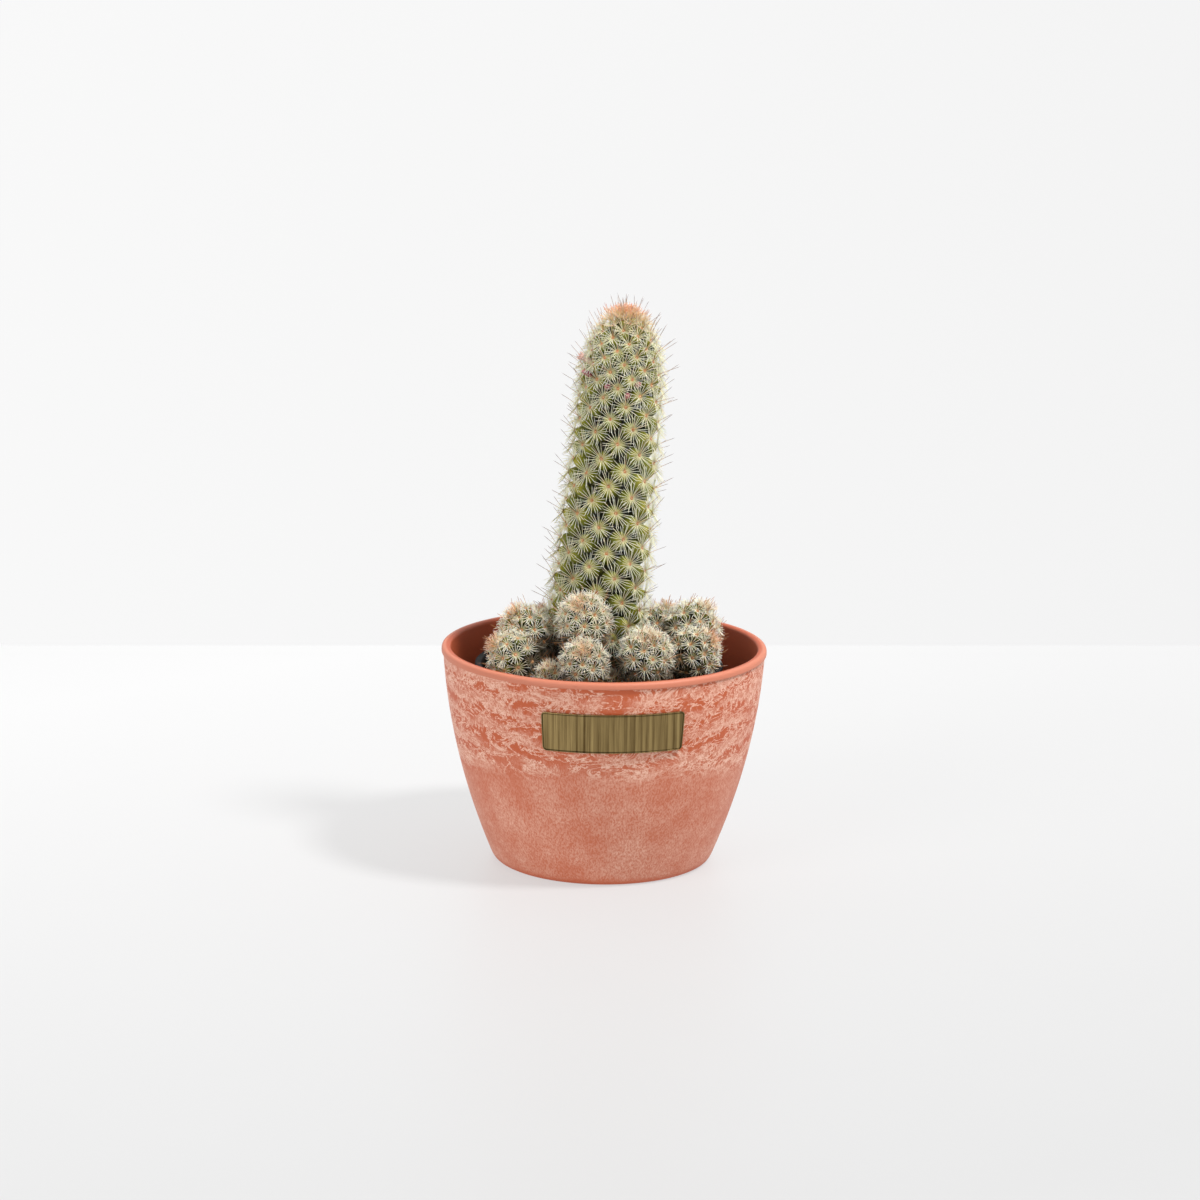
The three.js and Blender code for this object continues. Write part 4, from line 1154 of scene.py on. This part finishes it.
class CACTUS_OT_pups(bpy.types.Operator):
    """Make the short offsets round the stem's foot"""

    bl_idname = "cactus.make_pups"
    bl_label = "Offsets"

    def execute(self, context):
        plant = context.scene.cactus_plant
        soil_top = context.scene.cactus_soil.soil_top
        materials = plant_materials(plant, "spine_horn_flushed", "#FBEFD4", "#C08A5C", linear("#8E5A44"))
        stamps = build_stamps()
        stamps["tubercle"] = stamps["small_tubercle"]
        for index, pup in enumerate(PUPS):
            grow_head(pup_head(index, *pup, soil_top), plant, soil_top, materials, stamps)
        return {"FINISHED"}


class CACTUS_OT_stage(bpy.types.Operator):
    """Make the table, backdrop, lights and camera"""

    bl_idname = "cactus.make_stage"
    bl_label = "Stage"

    def execute(self, context):
        scene = context.scene
        stage = scene.cactus_stage
        # the table ends a little way behind the pot, and the backdrop stands well beyond it
        rise = (-0.00017, 0.00021, 0)
        sheet = new_material("table_acrylic_opal", acrylic_opal, stage.table, 0.5, stage.table_glow, rise)
        edge = Matrix.Translation((0, TABLE_END, -0.2 * MM)) @ Matrix.Rotation(TABLE_TURN, 4, "Z")
        self.board("studio_table", sheet, 3, edge @ Matrix.Translation((0, -3, 0)))
        rise = (-0.00003, 0, 0)
        sheet = new_material("wall_acrylic_opal", acrylic_opal, stage.wall, 0.9, stage.wall_glow, rise)
        upright = Matrix.Translation((0, BACKDROP, 0)) @ Matrix.Rotation(radians(90), 4, "X")
        self.board("studio_wall", sheet, 12, upright)
        self.lights(scene, stage)
        self.camera(scene, stage)
        return {"FINISHED"}

    @staticmethod
    def board(name, material, size, matrix):
        mesh = bpy.data.meshes.new(name)
        bm = bmesh.new()
        bmesh.ops.create_grid(bm, x_segments=2, y_segments=2, size=size, matrix=matrix)
        bm.to_mesh(mesh)
        bm.free()
        mesh.materials.append(material)
        piece = bpy.data.objects.new(name, mesh)
        bpy.context.scene.collection.objects.link(piece)

    @staticmethod
    def lights(scene, stage):
        world = bpy.data.worlds.new("studio_surround")
        world.use_nodes = True
        surround = world.node_tree.nodes["Background"].inputs
        surround["Color"].default_value = (1, 1, 1, 1)
        surround["Strength"].default_value = stage.sky
        scene.world = world
        for name, power, size, place in (
            ("key_softbox", stage.key, 0.35, (0.94, -0.5, 1.67)),
            ("fill_softbox", stage.fill, 1.2, (-1.5, -1.5, 0.9)),
        ):
            lamp = bpy.data.lights.new(name, "AREA")
            lamp.shape = "DISK"
            lamp.size = size
            lamp.energy = power
            light = bpy.data.objects.new(name, lamp)
            light.location = place
            aim = Vector((0, 0, 0.09)) - light.location
            light.rotation_euler = aim.to_track_quat("-Z", "Y").to_euler()
            scene.collection.objects.link(light)

    @staticmethod
    def camera(scene, stage):
        lens = bpy.data.cameras.new("view")
        lens.lens = stage.lens
        lens.sensor_width = 36
        lens.clip_start, lens.clip_end = 0.05, 20
        camera = bpy.data.objects.new("view", lens)
        eye = Vector((-2.043, -1365.87, 420.82)) * MM
        target = Vector((-2.043, 0, 113.59)) * MM
        roll = Matrix.Rotation(radians(0.704), 4, "Z")
        turn = (target - eye).to_track_quat("-Z", "Y").to_matrix().to_4x4() @ roll
        camera.matrix_world = Matrix.Translation(eye) @ turn
        scene.collection.objects.link(camera)
        scene.camera = camera
        scene.view_settings.view_transform = "Standard"


class CACTUS_PT_panel(bpy.types.Panel):
    """Lists the pieces of the potted cactus"""

    bl_idname = "CACTUS_PT_panel"
    bl_label = "Potted Cactus"
    bl_space_type = "VIEW_3D"
    bl_region_type = "UI"
    bl_category = "Cactus"

    def draw(self, context):
        for operator in OPERATORS:
            self.layout.operator(operator.bl_idname)


OPERATORS = (
    CACTUS_OT_outer_pot,
    CACTUS_OT_brass_plate,
    CACTUS_OT_nursery_pot,
    CACTUS_OT_soil,
    CACTUS_OT_main_stem,
    CACTUS_OT_pups,
    CACTUS_OT_stage,
)
SETTINGS = {
    "cactus_pot": CactusPotSettings,
    "cactus_soil": CactusSoilSettings,
    "cactus_plant": CactusPlantSettings,
    "cactus_stage": CactusStageSettings,
}


def register():
    for group in SETTINGS.values():
        bpy.utils.register_class(group)
    for operator in OPERATORS:
        bpy.utils.register_class(operator)
    bpy.utils.register_class(CACTUS_PT_panel)
    for name, group in SETTINGS.items():
        setattr(bpy.types.Scene, name, PointerProperty(type=group))


def unregister():
    for name in SETTINGS:
        delattr(bpy.types.Scene, name)
    bpy.utils.unregister_class(CACTUS_PT_panel)
    for operator in reversed(OPERATORS):
        bpy.utils.unregister_class(operator)
    for group in reversed(SETTINGS.values()):
        bpy.utils.unregister_class(group)


def main():
    register()
    for operator in OPERATORS:
        section, name = operator.bl_idname.split(".")
        getattr(getattr(bpy.ops, section), name)()


if __name__ == "__main__":
    main()
